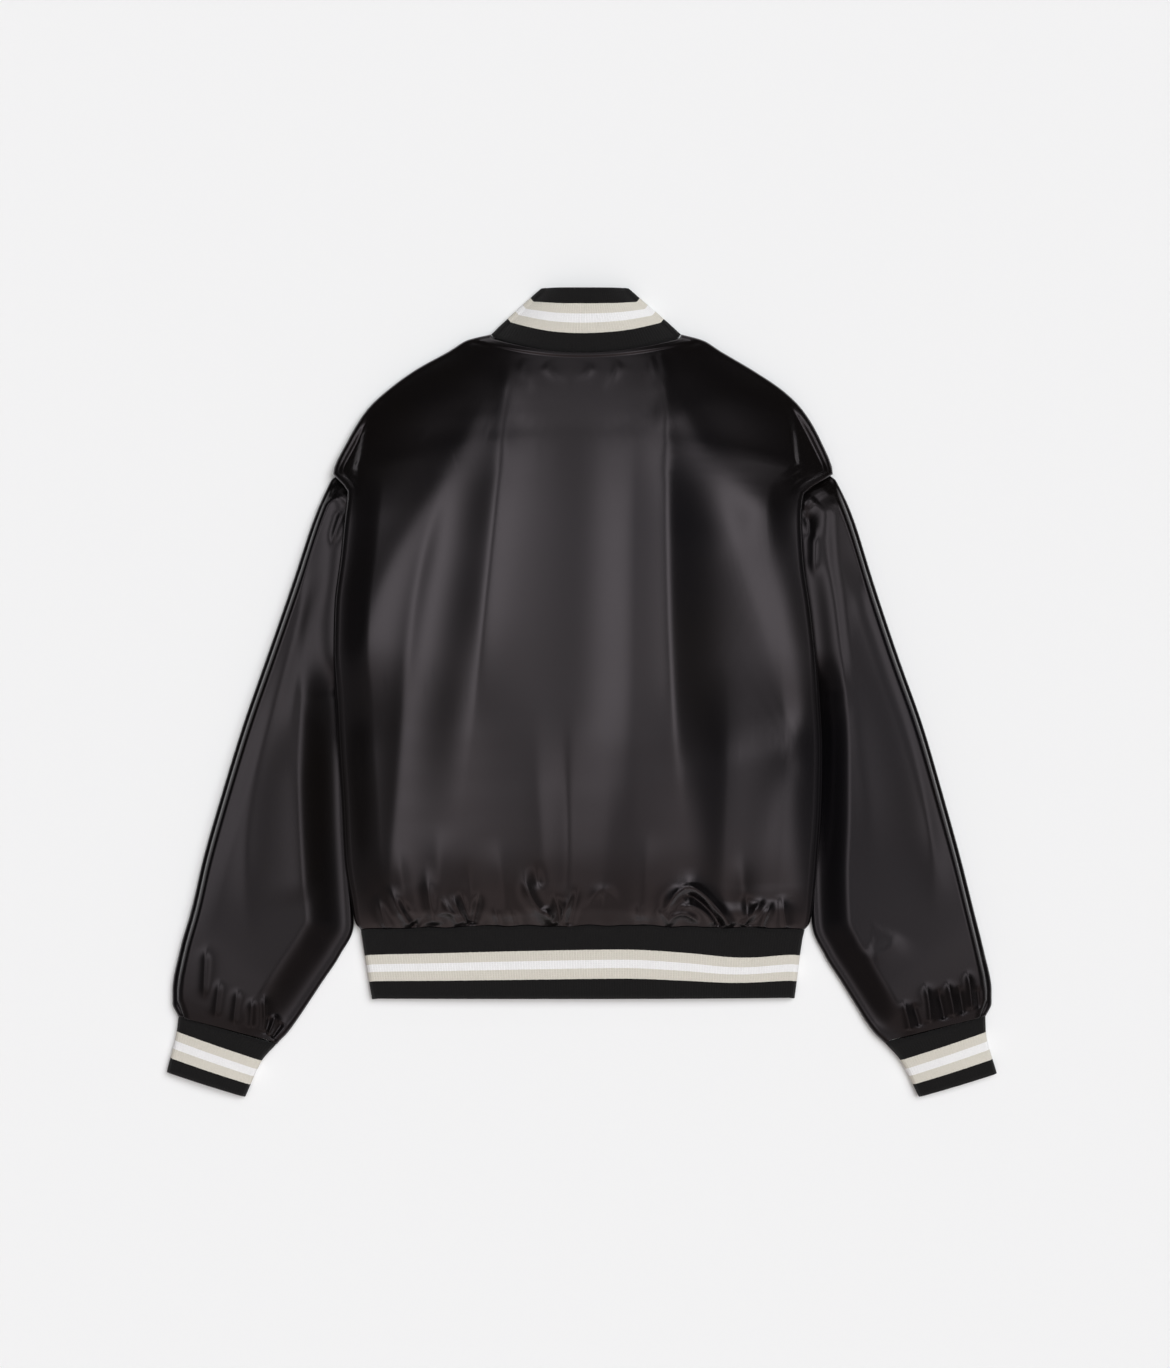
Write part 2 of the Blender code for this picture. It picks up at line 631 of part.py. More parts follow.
def make_back():
    last = TOP_COLUMNS + ROLL_COLUMNS + 1
    rows = []
    for level in BODY_LEVELS:
        left = [back_point(-1, level, column) for column in range(last, 0, -1)]
        rows.append(left + [back_point(1, level, column) for column in range(last + 1)])
    wall("back", rows, satin(), SATIN_WALL, closed=False, flip=False)


def make_fronts():
    last = len(LAP_COLUMNS) - 1 + FRONT_COLUMNS + RAMP_COLUMNS
    for side, name in ((-1, "front_left"), (1, "front_right")):
        rows = [[front_point(side, level, column) for column in range(last + 1)] for level in BODY_LEVELS]
        wall(name, rows, satin(), SATIN_WALL, closed=False, flip=side > 0)


def make_sleeves():
    for side, name, table in ((-1, "sleeve_left", SLEEVE_LEFT), (1, "sleeve_right", SLEEVE_RIGHT)):
        rows = []
        for ring in SLEEVE_RINGS:
            points = sleeve_ring(side, table, ring)
            rows.append(points + points[:1])
        wall(name, rows, satin(), SATIN_WALL, closed=True, flip=side < 0)


def make_cuffs():
    for side, name, table in ((-1, "cuff_left", CUFF_LEFT), (1, "cuff_right", CUFF_RIGHT)):
        rows = []
        for i in range(BAND_ROWS + 1):
            points = cuff_ring(side, table, i / BAND_ROWS)
            rows.append(points + points[:1])
        wall(name, rows, rib(), RIB_WALL, closed=True, flip=side < 0)


def make_hem_band():
    table = read_table(HEM_COLUMNS, HEM_BAND)
    rows = []
    for i in range(BAND_ROWS + 1):
        ring = i / BAND_ROWS
        rows.append(band_row(
            table, ring, HEM_ROLL, table["mid_y"](ring), front_columns=6, top_columns=12,
            ends=LAP_COLUMNS[::-1], lifts=(0.0, BAND_RIGHT_LIFT),
        ))
    wall("hem_band", rows, rib(), RIB_WALL, closed=False, flip=False)


def make_collar():
    table = read_table(COLLAR_COLUMNS, COLLAR)
    rows = []
    for i in range(COLLAR_ROWS + 1):
        ring = i / COLLAR_ROWS
        rows.append(band_row(
            table, ring, COLLAR_ROLL, table["front_y"](ring), front_columns=7, top_columns=7,
            ends=(COLLAR_FRONT_GAP / 2,), lifts=(0.0, 0.0),
        ))
    wall("collar", rows, rib(), RIB_WALL, closed=False, flip=False)


def make_studs():
    for i in range(STUD_COUNT):
        y = mix(STUD_LOW_Y, STUD_HIGH_Y, i / (STUD_COUNT - 1))
        shape = bmesh.new()
        bmesh.ops.create_cone(
            shape, cap_ends=True, segments=STUD_SIDES, radius1=STUD_RADIUS * MM, radius2=STUD_RADIUS * MM,
            depth=STUD_CAP * MM,
        )
        rim = [edge for edge in shape.edges if all(vert.co.z > 0 for vert in edge.verts)]
        bmesh.ops.bevel(
            shape, geom=rim, offset=STUD_BEVEL * MM, affect="EDGES", segments=1, profile=0.5, material=-1,
        )
        mesh = bpy.data.meshes.new(f"stud_{i + 1}")
        shape.to_mesh(mesh)
        shape.free()
        made = add_object(f"stud_{i + 1}", mesh, stud_metal())
        made.location = (FRAME_X * MM, (y + FRAME_Y) * MM, STUD_CAP / 2 * MM)


def main():
    clear_scene()
    make_back()
    make_fronts()
    make_sleeves()
    make_collar()
    make_hem_band()
    make_cuffs()
    make_studs()


main()
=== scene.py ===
# %% [markdown]
# # A black satin varsity jacket, laid flat on its front
#
# The jacket lies back up on a pale table, closed, with its sleeves angled down beside the body. Every
# piece of the construction model gets its dressed piece here: satin panels with their folds and
# gathers, knitted rib bands with their stripes and stitches, and studs.

# %% Load the construction model
import math

import bmesh
import bpy
import mathutils
import numpy as np
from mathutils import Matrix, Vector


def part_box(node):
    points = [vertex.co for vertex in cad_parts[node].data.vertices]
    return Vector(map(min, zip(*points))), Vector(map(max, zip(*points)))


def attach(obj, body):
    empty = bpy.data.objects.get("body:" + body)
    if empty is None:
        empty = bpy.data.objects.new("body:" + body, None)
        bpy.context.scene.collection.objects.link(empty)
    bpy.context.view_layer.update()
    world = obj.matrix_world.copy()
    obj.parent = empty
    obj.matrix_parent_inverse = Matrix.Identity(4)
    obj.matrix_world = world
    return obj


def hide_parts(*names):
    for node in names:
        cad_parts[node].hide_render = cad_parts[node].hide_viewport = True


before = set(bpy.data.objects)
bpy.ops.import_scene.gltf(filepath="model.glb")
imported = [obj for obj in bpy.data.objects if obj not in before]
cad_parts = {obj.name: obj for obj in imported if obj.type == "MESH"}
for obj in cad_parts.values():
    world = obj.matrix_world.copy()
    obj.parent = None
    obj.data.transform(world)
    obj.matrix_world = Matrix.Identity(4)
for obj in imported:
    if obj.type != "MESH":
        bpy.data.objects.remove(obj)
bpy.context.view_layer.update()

# %% [markdown]
# ## Sizes in millimetres
#
# Cloth is easiest to think about in millimetres, so every table below is in them and one factor turns
# them into Blender's metres. A table is a few rows of named columns. A smooth curve through each
# column then gives the value at any place in between, which is how a pattern cutter grades a piece.

# %% Tables and curves
MM = 0.001
CENTRE_X = -0.25            # the tables' centre back, as seen from the frame's origin


def curve_through(keys, values):
    """A smooth function through the values, which never overshoots them."""
    keys, values = np.array(keys, float), np.array(values, float)
    steps = np.diff(keys)
    rises = np.diff(values) / steps
    slopes = np.concatenate([rises[:1], np.zeros(len(keys) - 2), rises[-1:]])
    turning = rises[:-1] * rises[1:] > 0
    total = np.where(turning, rises[:-1] + rises[1:], 1.0)
    slopes[1:-1] = np.where(turning, 2 * rises[:-1] * rises[1:] / total, 0.0)

    def value(key):
        key = np.clip(np.asarray(key, float), keys[0], keys[-1])
        i = np.clip(np.searchsorted(keys, key, side="right") - 1, 0, len(steps) - 1)
        t = (key - keys[i]) / steps[i]
        lead = (1 - t) ** 2 * (1 + 2 * t) * values[i] + (1 - t) ** 2 * t * slopes[i] * steps[i]
        tail = t * t * (3 - 2 * t) * values[i + 1] - t * t * (1 - t) * slopes[i + 1] * steps[i]
        return lead + tail

    return value


def read_table(columns, rows):
    """Each named column of a table as a smooth function of its first column."""
    keys = [row[0] for row in rows]
    return {name: curve_through(keys, [row[i] for row in rows])
            for i, name in enumerate(columns.split()) if i}


def smooth(t):
    t = np.clip(t, 0.0, 1.0)
    return t * t * (3 - 2 * t)


def mix(a, b, t):
    return a + (b - a) * t


# %% [markdown]
# ## The outline of the body
#
# The back and the fronts share one outline, taken level by level from the hem seam to the neck seam.
# The rows began as the construction model's and were then fitted to the photograph, so the dressed cloth
# follows that model closely but not exactly. On the back and the sleeves it departs by up to about 13 mm.

# %% Body tables
BODY_OUTLINE = read_table("level mid_y left_x left_y right_x right_y", (
    (0.000, -243.0, 231.0, -248.0, 233.0, -248.0),
    (0.015, -234.5, 236.0, -241.5, 238.0, -240.8),
    (0.050, -211.6, 241.0, -215.8, 242.0, -215.8),
    (0.110, -171.0, 247.5, -174.2, 245.5, -174.2),
    (0.200, -110.0, 250.5, -111.8, 249.5, -111.8),
    (0.275, -58.0, 254.0, -55.0, 250.5, -59.8),
    (0.350, -7.0, 256.0, -7.8, 247.5, -7.8),
    (0.420, 43.0, 258.0, 39.0, 243.5, 39.0),
    (0.490, 96.0, 257.0, 88.0, 238.0, 88.0),
    (0.560, 149.0, 250.5, 142.0, 231.0, 138.0),
    (0.620, 197.0, 246.5, 181.5, 229.0, 179.5),
    (0.655, 228.0, 243.5, 207.5, 231.0, 204.5),
    (0.675, 246.0, 251.0, 218.5, 246.0, 217.0),
    (0.695, 262.0, 259.4, 228.5, 262.0, 228.5),
    (0.745, 283.0, 244.2, 263.6, 249.8, 262.6),
    (0.790, 300.0, 224.0, 295.8, 231.0, 294.6),
    (0.830, 311.5, 202.0, 316.4, 210.6, 314.9),
    (0.880, 324.0, 173.5, 337.0, 179.8, 335.8),
    (0.940, 338.5, 137.5, 357.0, 144.8, 356.5),
    (0.970, 346.0, 119.5, 368.0, 127.0, 367.6),
    (1.000, 353.0, 95.0, 374.0, 104.0, 374.0),
))
BODY_HEIGHTS = read_table("level crown roll_z roll_r tuck", (
    (0.000, 19.0, 6.5, 5.5, 7.0),
    (0.015, 25.0, 9.0, 6.0, 9.0),
    (0.035, 33.0, 12.0, 6.8, 10.5),
    (0.070, 41.0, 15.0, 8.0, 12.0),
    (0.130, 47.0, 17.0, 8.5, 12.0),
    (0.250, 51.0, 17.8, 8.5, 12.0),
    (0.300, 52.0, 18.6, 8.5, 12.0),
    (0.335, 52.0, 20.4, 8.5, 12.0),
    (0.362, 52.0, 22.4, 8.5, 12.0),
    (0.390, 52.0, 25.0, 8.0, 12.0),
    (0.430, 52.0, 27.5, 7.0, 12.0),
    (0.560, 50.0, 28.0, 7.0, 12.0),
    (0.620, 47.0, 27.0, 7.0, 12.0),
    (0.655, 45.0, 24.0, 6.0, 10.0),
    (0.675, 44.0, 19.0, 5.2, 8.0),
    (0.695, 43.0, 14.0, 4.8, 6.5),
    (0.720, 42.0, 10.0, 5.0, 7.0),
    (0.760, 41.0, 8.5, 5.0, 8.0),
    (0.900, 36.0, 8.5, 5.0, 8.0),
    (1.000, 30.0, 8.5, 5.0, 8.0),
))
FRONT_MIDDLE = read_table("level mid_y", (
    (0.000, -243.0), (0.350, -7.0), (0.490, 90.0), (0.600, 152.0),
    (0.695, 188.0), (0.790, 219.0), (0.880, 245.0), (1.000, 275.0),
))
SEAM_GAP = 0.35
ARMPIT, SHOULDER_LOW = 0.350, 0.720
ARMHOLE_LOW, ARMHOLE_HIGH = 0.362, 0.690
TIP_LEVEL, TIP_CLEARANCE = 0.70, 8.0
SATIN_WALL, RIB_WALL = 1.8, 3.2

# %% [markdown]
# ## Cross-sections with a rolled edge
#
# A padded shell that lies flat isn't a sharp-edged sheet. Each side turns over in a small roll, and the
# upper layer rises from that roll to a crown in the middle. One function gives the roll's inner
# direction, one the upper layer and one the roll itself, for any level of the table at once.

# %% Sections of the body
def edge_point(table, side, level):
    name = "left" if side < 0 else "right"
    return side * table[name + "_x"](level), table[name + "_y"](level)


def inward(table, side, level, reach=0.02, low=0.03, high=0.97):
    """Direction on the page that points into the piece, square to its side edge."""
    level = np.clip(level, low, high)
    x0, y0 = edge_point(table, side, level - reach)
    x1, y1 = edge_point(table, side, level + reach)
    length = np.hypot(x1 - x0, y1 - y0)
    return -(y1 - y0) / length * side, (x1 - x0) / length * side


def body_section(side, level):
    edge, into = edge_point(BODY_OUTLINE, side, level), inward(BODY_OUTLINE, side, level)
    section = {name: BODY_HEIGHTS[name](level) for name in ("crown", "roll_z", "roll_r", "tuck")}
    return section | {"edge": edge, "inward": into, "mid_y": BODY_OUTLINE["mid_y"](level)}


def inset(section, distance):
    return (section["edge"][0] + distance * section["inward"][0],
            section["edge"][1] + distance * section["inward"][1])


def dome(share):
    return 1.0 - (1.0 - share) ** 3.2


def top_point(section, share):
    """Upper layer, from the middle (0) to where the side roll starts (1)."""
    bx, by = inset(section, section["roll_r"])
    low = section["roll_z"] + section["roll_r"]
    z = mix(low, section["crown"], dome(1.0 - share))
    return np.stack([share * bx, mix(section["mid_y"], by, share * share), z], axis=-1)


def roll_point(section, turn):
    """Side roll, from its top (0) round the outside to its bottom (1)."""
    angle = math.pi * (0.5 - turn)
    x, y = inset(section, section["roll_r"] * (1.0 - np.cos(angle)))
    return np.stack([x, y, section["roll_z"] + section["roll_r"] * np.sin(angle)], axis=-1)


# %% [markdown]
# ## Folds as crests and troughs
#
# A fold of satin has a narrow crest with a long slope on each side, and the slopes are rarely equal. Each
# row of a fold table gives four points that the crest runs through, its height, how far each slope
# runs out, how round the crest is, and how soon it fades at its start and end. A negative height makes
# a trough. Placing them one by one keeps them as uneven as real cloth.

# %% Fold helper
def crest_line(fold, count=22):
    """A smooth line through a fold's four points."""
    t = np.linspace(0.0, 1.0, count)[:, None]
    stops = (0.0, 1 / 3, 2 / 3, 1.0)
    line = np.zeros((count, 2))
    for i, stop in enumerate(stops):
        share = np.ones_like(t)
        for other in stops[:i] + stops[i + 1:]:
            share = share * (t - other) / (stop - other)
        line += share * np.array(fold[2 * i:2 * i + 2], float)
    return line


def nearest_on(path, x, y):
    """Distance to a path, the share of the way along it, and the side: 1 on its right going down."""
    best, along, hand = np.full(x.shape, 1e9), np.zeros(x.shape), np.ones(x.shape)
    for i in range(len(path) - 1):
        ax, ay = path[i][0], path[i][1]
        bx, by = path[i + 1][0] - ax, path[i + 1][1] - ay
        t = np.clip(((x - ax) * bx + (y - ay) * by) / (bx * bx + by * by), 0.0, 1.0)
        away = np.hypot(x - ax - t * bx, y - ay - t * by)
        closer = away < best
        best = np.where(closer, away, best)
        along = np.where(closer, (i + t) / (len(path) - 1), along)
        hand = np.where(closer, np.sign((y - ay) * bx - (x - ax) * by + 1e-9), hand)
    return best, along, hand


def fold_height(folds, x, y):
    """Sum of a table's folds at places on the page."""
    total = np.zeros(x.shape)
    for fold in folds:
        height, left, right, tip, start, end = fold[8:14]
        path = crest_line(fold)
        reach = 6 * max(left, right) + tip
        low, high = path.min(axis=0) - reach, path.max(axis=0) + reach
        near = (x > low[0]) & (x < high[0]) & (y > low[1]) & (y < high[1])
        away, along, hand = nearest_on(path, x[near], y[near])
        slope = np.exp(-(np.hypot(away, tip) - tip) / np.where(hand > 0, right, left))
        total[near] += height * slope * smooth(along / start) * smooth((1.0 - along) / end)
    return total


# %% [markdown]
# ## From a grid to cloth
#
# Every panel starts as a flat grid. The grid's corners are moved to the places that the sections give,
# a Solidify modifier gives it the cloth's thickness, and its UV map keeps the shares across and along,
# so that stripes and knitting follow the cloth however it bends.

# %% Cloth helper
def placed(shape, name):
    """Turn a worked shape into an object of the scene."""
    mesh = bpy.data.meshes.new(name)
    shape.to_mesh(mesh)
    shape.free()
    made = bpy.data.objects.new(name, mesh)
    bpy.context.scene.collection.objects.link(made)
    return made


def cloth(name, points, thickness, closed=False, flip=False):
    """A cloth wall through a table of places, thickened towards its inside."""
    rows, columns = points.shape[:2]
    shape = bmesh.new()
    shape.loops.layers.uv.new("UVMap")
    bmesh.ops.create_grid(shape, x_segments=columns - 1, y_segments=rows - 1, size=1.0, calc_uvs=True)
    places = (points + (CENTRE_X, 0.0, 0.0)) * MM
    for vert in shape.verts:
        column = round((vert.co.x + 1.0) / 2.0 * (columns - 1))
        row = round((vert.co.y + 1.0) / 2.0 * (rows - 1))
        vert.co = places[row, column]
    if closed:
        bmesh.ops.remove_doubles(shape, verts=shape.verts, dist=1e-6)
    if flip:
        bmesh.ops.reverse_faces(shape, faces=shape.faces)
    made = placed(shape, name)
    made.data.shade_smooth()
    wall = made.modifiers.new("wall", "SOLIDIFY")
    wall.thickness = thickness * MM
    wall.offset = -1.0
    print(f"{name}: {rows} x {columns} points")
    return made


def dress(piece, finish, slot, *nodes):
    """Give a piece its material, its body and the construction pieces that it stands for."""
    piece.data.materials.append(finish)
    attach(piece, "root")
    if nodes:
        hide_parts(*nodes)
    return piece


# %% [markdown]
# ## Black satin
#
# Satin is woven with long floats, so it shines along the thread and stays nearly black elsewhere. The
# base colour is almost black with a faint warm and violet drift. The roughness is fairly low, and a fine
# bump, stretched along the warp, breaks up the shine like real threads do.

# %% Material helpers
def new_material(name):
    made = bpy.data.materials.new(name)
    made.use_nodes = True
    return made, made.node_tree.nodes, made.node_tree.links, made.node_tree.nodes["Principled BSDF"]


def noise(nodes, links, place, scale, detail=2.0):
    """Cloudy noise, read at the given place."""
    step = nodes.new("ShaderNodeTexNoise")
    step.inputs["Scale"].default_value = scale
    step.inputs["Detail"].default_value = detail
    links.new(place, step.inputs["Vector"])
    return step.outputs["Fac"]


def ranged(nodes, links, source, low, high, to_low, to_high, passing="SMOOTHSTEP"):
    """A value that passes from one level to another while the source goes low to high."""
    step = nodes.new("ShaderNodeMapRange")
    step.interpolation_type = passing
    for name, number in (("From Min", low), ("From Max", high), ("To Min", to_low), ("To Max", to_high)):
        step.inputs[name].default_value = number
    links.new(source, step.inputs["Value"])
    return step.outputs["Result"]


def calculated(nodes, links, operation, *sources):
    """The result of one sum on numbers or on other nodes' values."""
    step = nodes.new("ShaderNodeMath")
    step.operation = operation
    for socket, source in zip(step.inputs, sources):
        if isinstance(source, (int, float)):
            socket.default_value = source
        else:
            links.new(source, socket)
    return step.outputs["Value"]


def bumped(nodes, links, shader, height, strength, distance):
    """Fine relief on a finish, too small to model."""
    bump = nodes.new("ShaderNodeBump")
    bump.inputs["Strength"].default_value = strength
    bump.inputs["Distance"].default_value = distance
    links.new(height, bump.inputs["Height"])
    links.new(bump.outputs["Normal"], shader.inputs["Normal"])


# %% Satin material
WARM_BLACK, VIOLET_BLACK = (0.0026, 0.0020, 0.0017, 1.0), (0.0024, 0.0022, 0.0028, 1.0)
THREADS = (1900.0, 260.0, 1900.0)       # cells of noise to a metre, longest along the warp


def satin_material(name, shine):
    made, nodes, links, shader = new_material(name)
    place = nodes.new("ShaderNodeTexCoord").outputs["Object"]
    tint = nodes.new("ShaderNodeValToRGB")
    for stop, position, colour in zip(tint.color_ramp.elements, (0.35, 0.70), (WARM_BLACK, VIOLET_BLACK)):
        stop.position, stop.color = position, colour
    links.new(noise(nodes, links, place, 5.0), tint.inputs["Fac"])
    links.new(tint.outputs["Color"], shader.inputs["Base Color"])

    threads = nodes.new("ShaderNodeMapping")
    threads.inputs["Scale"].default_value = THREADS
    links.new(place, threads.inputs["Vector"])
    grain = noise(nodes, links, threads.outputs["Vector"], 1.0)
    links.new(ranged(nodes, links, grain, 0.0, 1.0, 0.20, 0.25, "LINEAR"), shader.inputs["Roughness"])
    bumped(nodes, links, shader, grain, 0.02, 0.0003)
    shader.inputs["Specular IOR Level"].default_value = shine
    shader.inputs["Specular Tint"].default_value = (1.0, 0.90, 0.97, 1.0)
    return made


black_satin = satin_material("black_satin", 0.5)
sleeve_satin = satin_material("sleeve_satin", 0.31)

# %% [markdown]
# ## The back
#
# The back is one wide panel. Broad folds fall from the neck to the hem, the dropped shoulders lie a
# little lower beside the fold of the armhole, and the extra width is gathered into the hem seam.

# %% The back's folds
# four points of the crest, height, left run, right run, roundness, fade at the start and at the end
BACK_FOLDS = (
    (8, 352, 4, 180, 0, 10, -6, -225, -13.0, 230, 230, 60.0, 0.34, 0.34),
    (-66, 352, -86, 180, -106, 10, -134, -225, 11.0, 16, 400, 60.0, 0.34, 0.34),
    (-74, 352, -86, 215, -99, 90, -114, -70, 2.8, 14, 22, 6.0, 0.08, 0.35),
    (-128, 240, -170, 110, -186, -40, -204, -232, 2.2, 14, 16, 6.0, 0.30, 0.08),
    (-92, 318, -150, 208, -205, 110, -240, -30, 4.5, 30, 44, 12.0, 0.14, 0.20),
    (92, 318, 130, 246, 176, 198, 234, 168, 4.0, 44, 30, 12.0, 0.14, 0.30),
    (78, 353, 84, 180, 90, 10, 116, -228, 11.5, 900, 16, 60.0, 0.34, 0.34),
    (56, 350, 56, 170, 55, -20, 62, -225, 4.4, 24, 260, 30.0, 0.30, 0.30),
    (82, 353, 88, 180, 92, 10, 112, -160, 2.6, 20, 12, 6.0, 0.08, 0.35),
    (120, 262, 152, 160, 192, 40, 222, -60, -4.0, 60, 24, 20.0, 0.35, 0.15),
    (150, 40, 152, -50, 150, -140, 150, -232, -3.5, 12, 60, 20.0, 0.35, 0.06),
    (238, -64, 207, -86, 190, -140, 186, -225, -2.2, 28, 22, 18.0, 0.25, 0.10),
    (-46, 10, -49, -70, -44, -145, -38, -215, 2.0, 60, 16, 10.0, 0.60, 0.14),
    (-10, 0, -14, -80, -13, -150, -18, -220, -2.8, 12, 16, 7.0, 0.60, 0.14),
    (36, 30, 31, -70, 30, -145, 26, -210, 1.6, 22, 60, 14.0, 0.60, 0.14),
    (-232, -20, -229, -80, -226, -150, -222, -225, 2.4, 14, 18, 5.0, 0.30, 0.20),
    (-190, -150, -188, -180, -184, -205, -176, -236, 2.0, 12, 9, 4.0, 0.50, 0.10),
    (-150, -130, -148, -165, -147, -200, -146, -238, 1.8, 14, 14, 5.0, 0.50, 0.10),
    (-88, -145, -84, -175, -80, -205, -78, -240, 2.0, 14, 16, 5.0, 0.50, 0.10),
    (68, -140, 66, -170, 64, -205, 62, -240, 1.6, 12, 16, 5.0, 0.50, 0.10),
    (166, -160, 166, -185, 168, -210, 168, -240, 1.8, 10, 10, 4.0, 0.50, 0.10),
    (-118, -170, -116, -190, -115, -212, -114, -240, -1.6, 9, 10, 3.0, 0.50, 0.10),
)
# The gathers above the hem seam. Most have their foot in the seam.
HEM_GATHERS = (
    (-200, -196, -195, -212, -187, -228, -176, -244, 3.0, 5.0, 7.0, 2.0, 0.50, 0.10),
    (-188, -210, -184, -222, -178, -233, -170, -246, -1.8, 3.0, 3.6, 1.4, 0.45, 0.10),
    (-162, -176, -159, -202, -156, -224, -152, -244, 2.2, 7.0, 6.0, 3.0, 0.50, 0.12),
    (-146, -208, -141, -220, -134, -231, -127, -244, 1.9, 3.4, 4.0, 1.6, 0.45, 0.10),
    (-136, -206, -131, -218, -125, -230, -118, -244, 2.0, 3.2, 3.6, 1.6, 0.45, 0.10),
    (-126, -202, -123, -216, -119, -230, -116, -244, -1.6, 3.0, 3.0, 1.4, 0.45, 0.10),
    (-107, -204, -108, -216, -111, -229, -114, -244, -2.4, 2.6, 3.2, 1.2, 0.45, 0.10),
    (-156, -231, -145, -228, -133, -229, -120, -234, 1.2, 2.6, 3.2, 1.2, 0.40, 0.40),
    (-61, -180, -56, -204, -45, -224, -30, -238, 2.6, 6.0, 4.6, 2.2, 0.45, 0.12),
    (-51, -180, -48, -188, -45, -196, -42, -206, -1.8, 5.0, 5.0, 2.4, 0.45, 0.45),
    (-42, -222, -37, -227, -32, -233, -28, -244, 2.6, 3.2, 3.4, 1.6, 0.45, 0.15),
    (-28, -206, -26, -218, -23, -231, -22, -244, -2.0, 2.8, 3.0, 1.2, 0.45, 0.10),
    (-8, -204, -14, -218, -19, -231, -22, -244, 1.9, 3.2, 4.0, 1.6, 0.50, 0.10),
    (-2, -196, -6, -212, -10, -228, -13, -244, -1.6, 4.0, 4.0, 1.8, 0.50, 0.10),
    (4, -226, 13, -210, 26, -205, 42, -230, 1.4, 6.0, 5.0, 3.0, 0.45, 0.45),
    (84, -232, 92, -216, 101, -205, 116, -201, 3.4, 4.0, 5.0, 1.6, 0.40, 0.35),
    (102, -203, 118, -203, 138, -221, 156, -246, 3.8, 6.0, 4.0, 1.6, 0.30, 0.08),
    (104, -211, 117, -213, 132, -227, 146, -246, -3.4, 3.0, 3.0, 1.4, 0.35, 0.10),
    (96, -225, 112, -221, 127, -227, 140, -245, 2.2, 2.8, 3.0, 1.3, 0.30, 0.12),
    (88, -240, 98, -231, 110, -231, 123, -242, 2.2, 2.8, 3.2, 1.3, 0.30, 0.25),
    (78, -222, 83, -228, 88, -234, 92, -244, 1.6, 3.2, 3.2, 1.4, 0.45, 0.15),
    (190, -212, 183, -222, 175, -233, 167, -246, 2.6, 3.4, 4.2, 1.6, 0.45, 0.10),
    (200, -214, 194, -225, 189, -236, 187, -247, 2.2, 3.6, 3.6, 1.6, 0.45, 0.10),
    (170, -206, 171, -218, 173, -232, 174, -246, -2.0, 3.8, 3.8, 1.8, 0.50, 0.10),
    (207, -208, 209, -221, 211, -235, 214, -249, 1.6, 4.0, 4.4, 1.8, 0.45, 0.15),
    (-214, -208, -210, -222, -206, -236, -202, -249, 1.7, 4.0, 4.6, 1.8, 0.45, 0.15),
    (58, -216, 60, -226, 61, -236, 62, -245, 1.1, 3.4, 3.8, 1.6, 0.45, 0.15),
    (-74, -222, -72, -230, -70, -238, -69, -245, 1.1, 3.4, 3.6, 1.6, 0.45, 0.15),
    (-92, -220, -89, -229, -87, -237, -86, -245, 1.1, 3.4, 3.6, 1.6, 0.45, 0.15),
)
# Small puckers where the back is sewn to the collar.
NECK_PUCKERS = (
    (-62, 347, -60, 336, -56, 322, -50, 308, 0.9, 4.0, 5.0, 2.5, 0.3, 0.6),
    (-40, 342, -34, 334, -24, 326, -10, 321, 0.9, 3.6, 5.0, 2.0, 0.3, 0.6),
    (12, 342, 8, 334, 0, 327, -14, 323, 0.8, 4.0, 4.0, 2.0, 0.3, 0.6),
    (40, 345, 36, 335, 30, 322, 20, 312, 0.9, 4.0, 4.6, 2.2, 0.3, 0.6),
    (72, 352, 72, 342, 71, 330, 68, 314, 1.3, 3.6, 4.4, 1.8, 0.3, 0.6),
    (83, 356, 84, 345, 86, 334, 88, 318, 1.0, 3.4, 3.6, 1.8, 0.3, 0.6),
)
# The body's side folds over the dropped shoulder: where its edge runs, by height on the page.
CREASE = read_table("y left_x right_x", (
    (190.0, 245.5, 229.5),
    (212.0, 241.0, 228.5),
    (236.0, 237.5, 227.0),
    (265.0, 233.0, 225.0),
    (310.0, 224.0, 221.0),
))
CREASE_DEPTH, CREASE_WIDTH = 4.5, 6.0
CREASE_FOOT, CREASE_HEAD = (196.0, 24.0), (312.0, 50.0)     # where it begins and ends, and over what length
EDGE_CALM = 32.0            # strip beside the rolled edge that the large folds leave smooth
NECK_RIDGE = 6.0            # width of the turned seam below the collar
NECK_RIDGE_HEIGHT = 1.9
GATHER_SHARE = 1.7          # how much deeper the gathers at the hem are than their table says
SEAM_WAVE = 1.1             # how far the hem seam wanders up and down


def crease_drop(side, x, y):
    """The shoulder beside the armhole lies lower than the back's fold."""
    edge = CREASE["left_x" if side < 0 else "right_x"](y)
    along = smooth((y - CREASE_FOOT[0]) / CREASE_FOOT[1]) * smooth((CREASE_HEAD[0] - y) / CREASE_HEAD[1])
    return CREASE_DEPTH * along * smooth((side * x - edge + CREASE_WIDTH) / CREASE_WIDTH)


def seam_wave(x):
    """The hem seam isn't straight: the gathers pull it up and down a little."""
    wave = np.sin(x / 9.0 + 1.0) + 0.8 * np.sin(x / 23.0 - 0.6) + 0.6 * np.sin(x / 5.3)
    return SEAM_WAVE * wave / 2.0


# %% The back
TOP_COUNT, ROLL_COUNT = 150, 9
back_levels = np.concatenate([
    np.linspace(0.0, 0.075, 40)[:-1], np.linspace(0.075, 0.96, 74)[:-1], np.linspace(0.96, 1.0, 16),
])


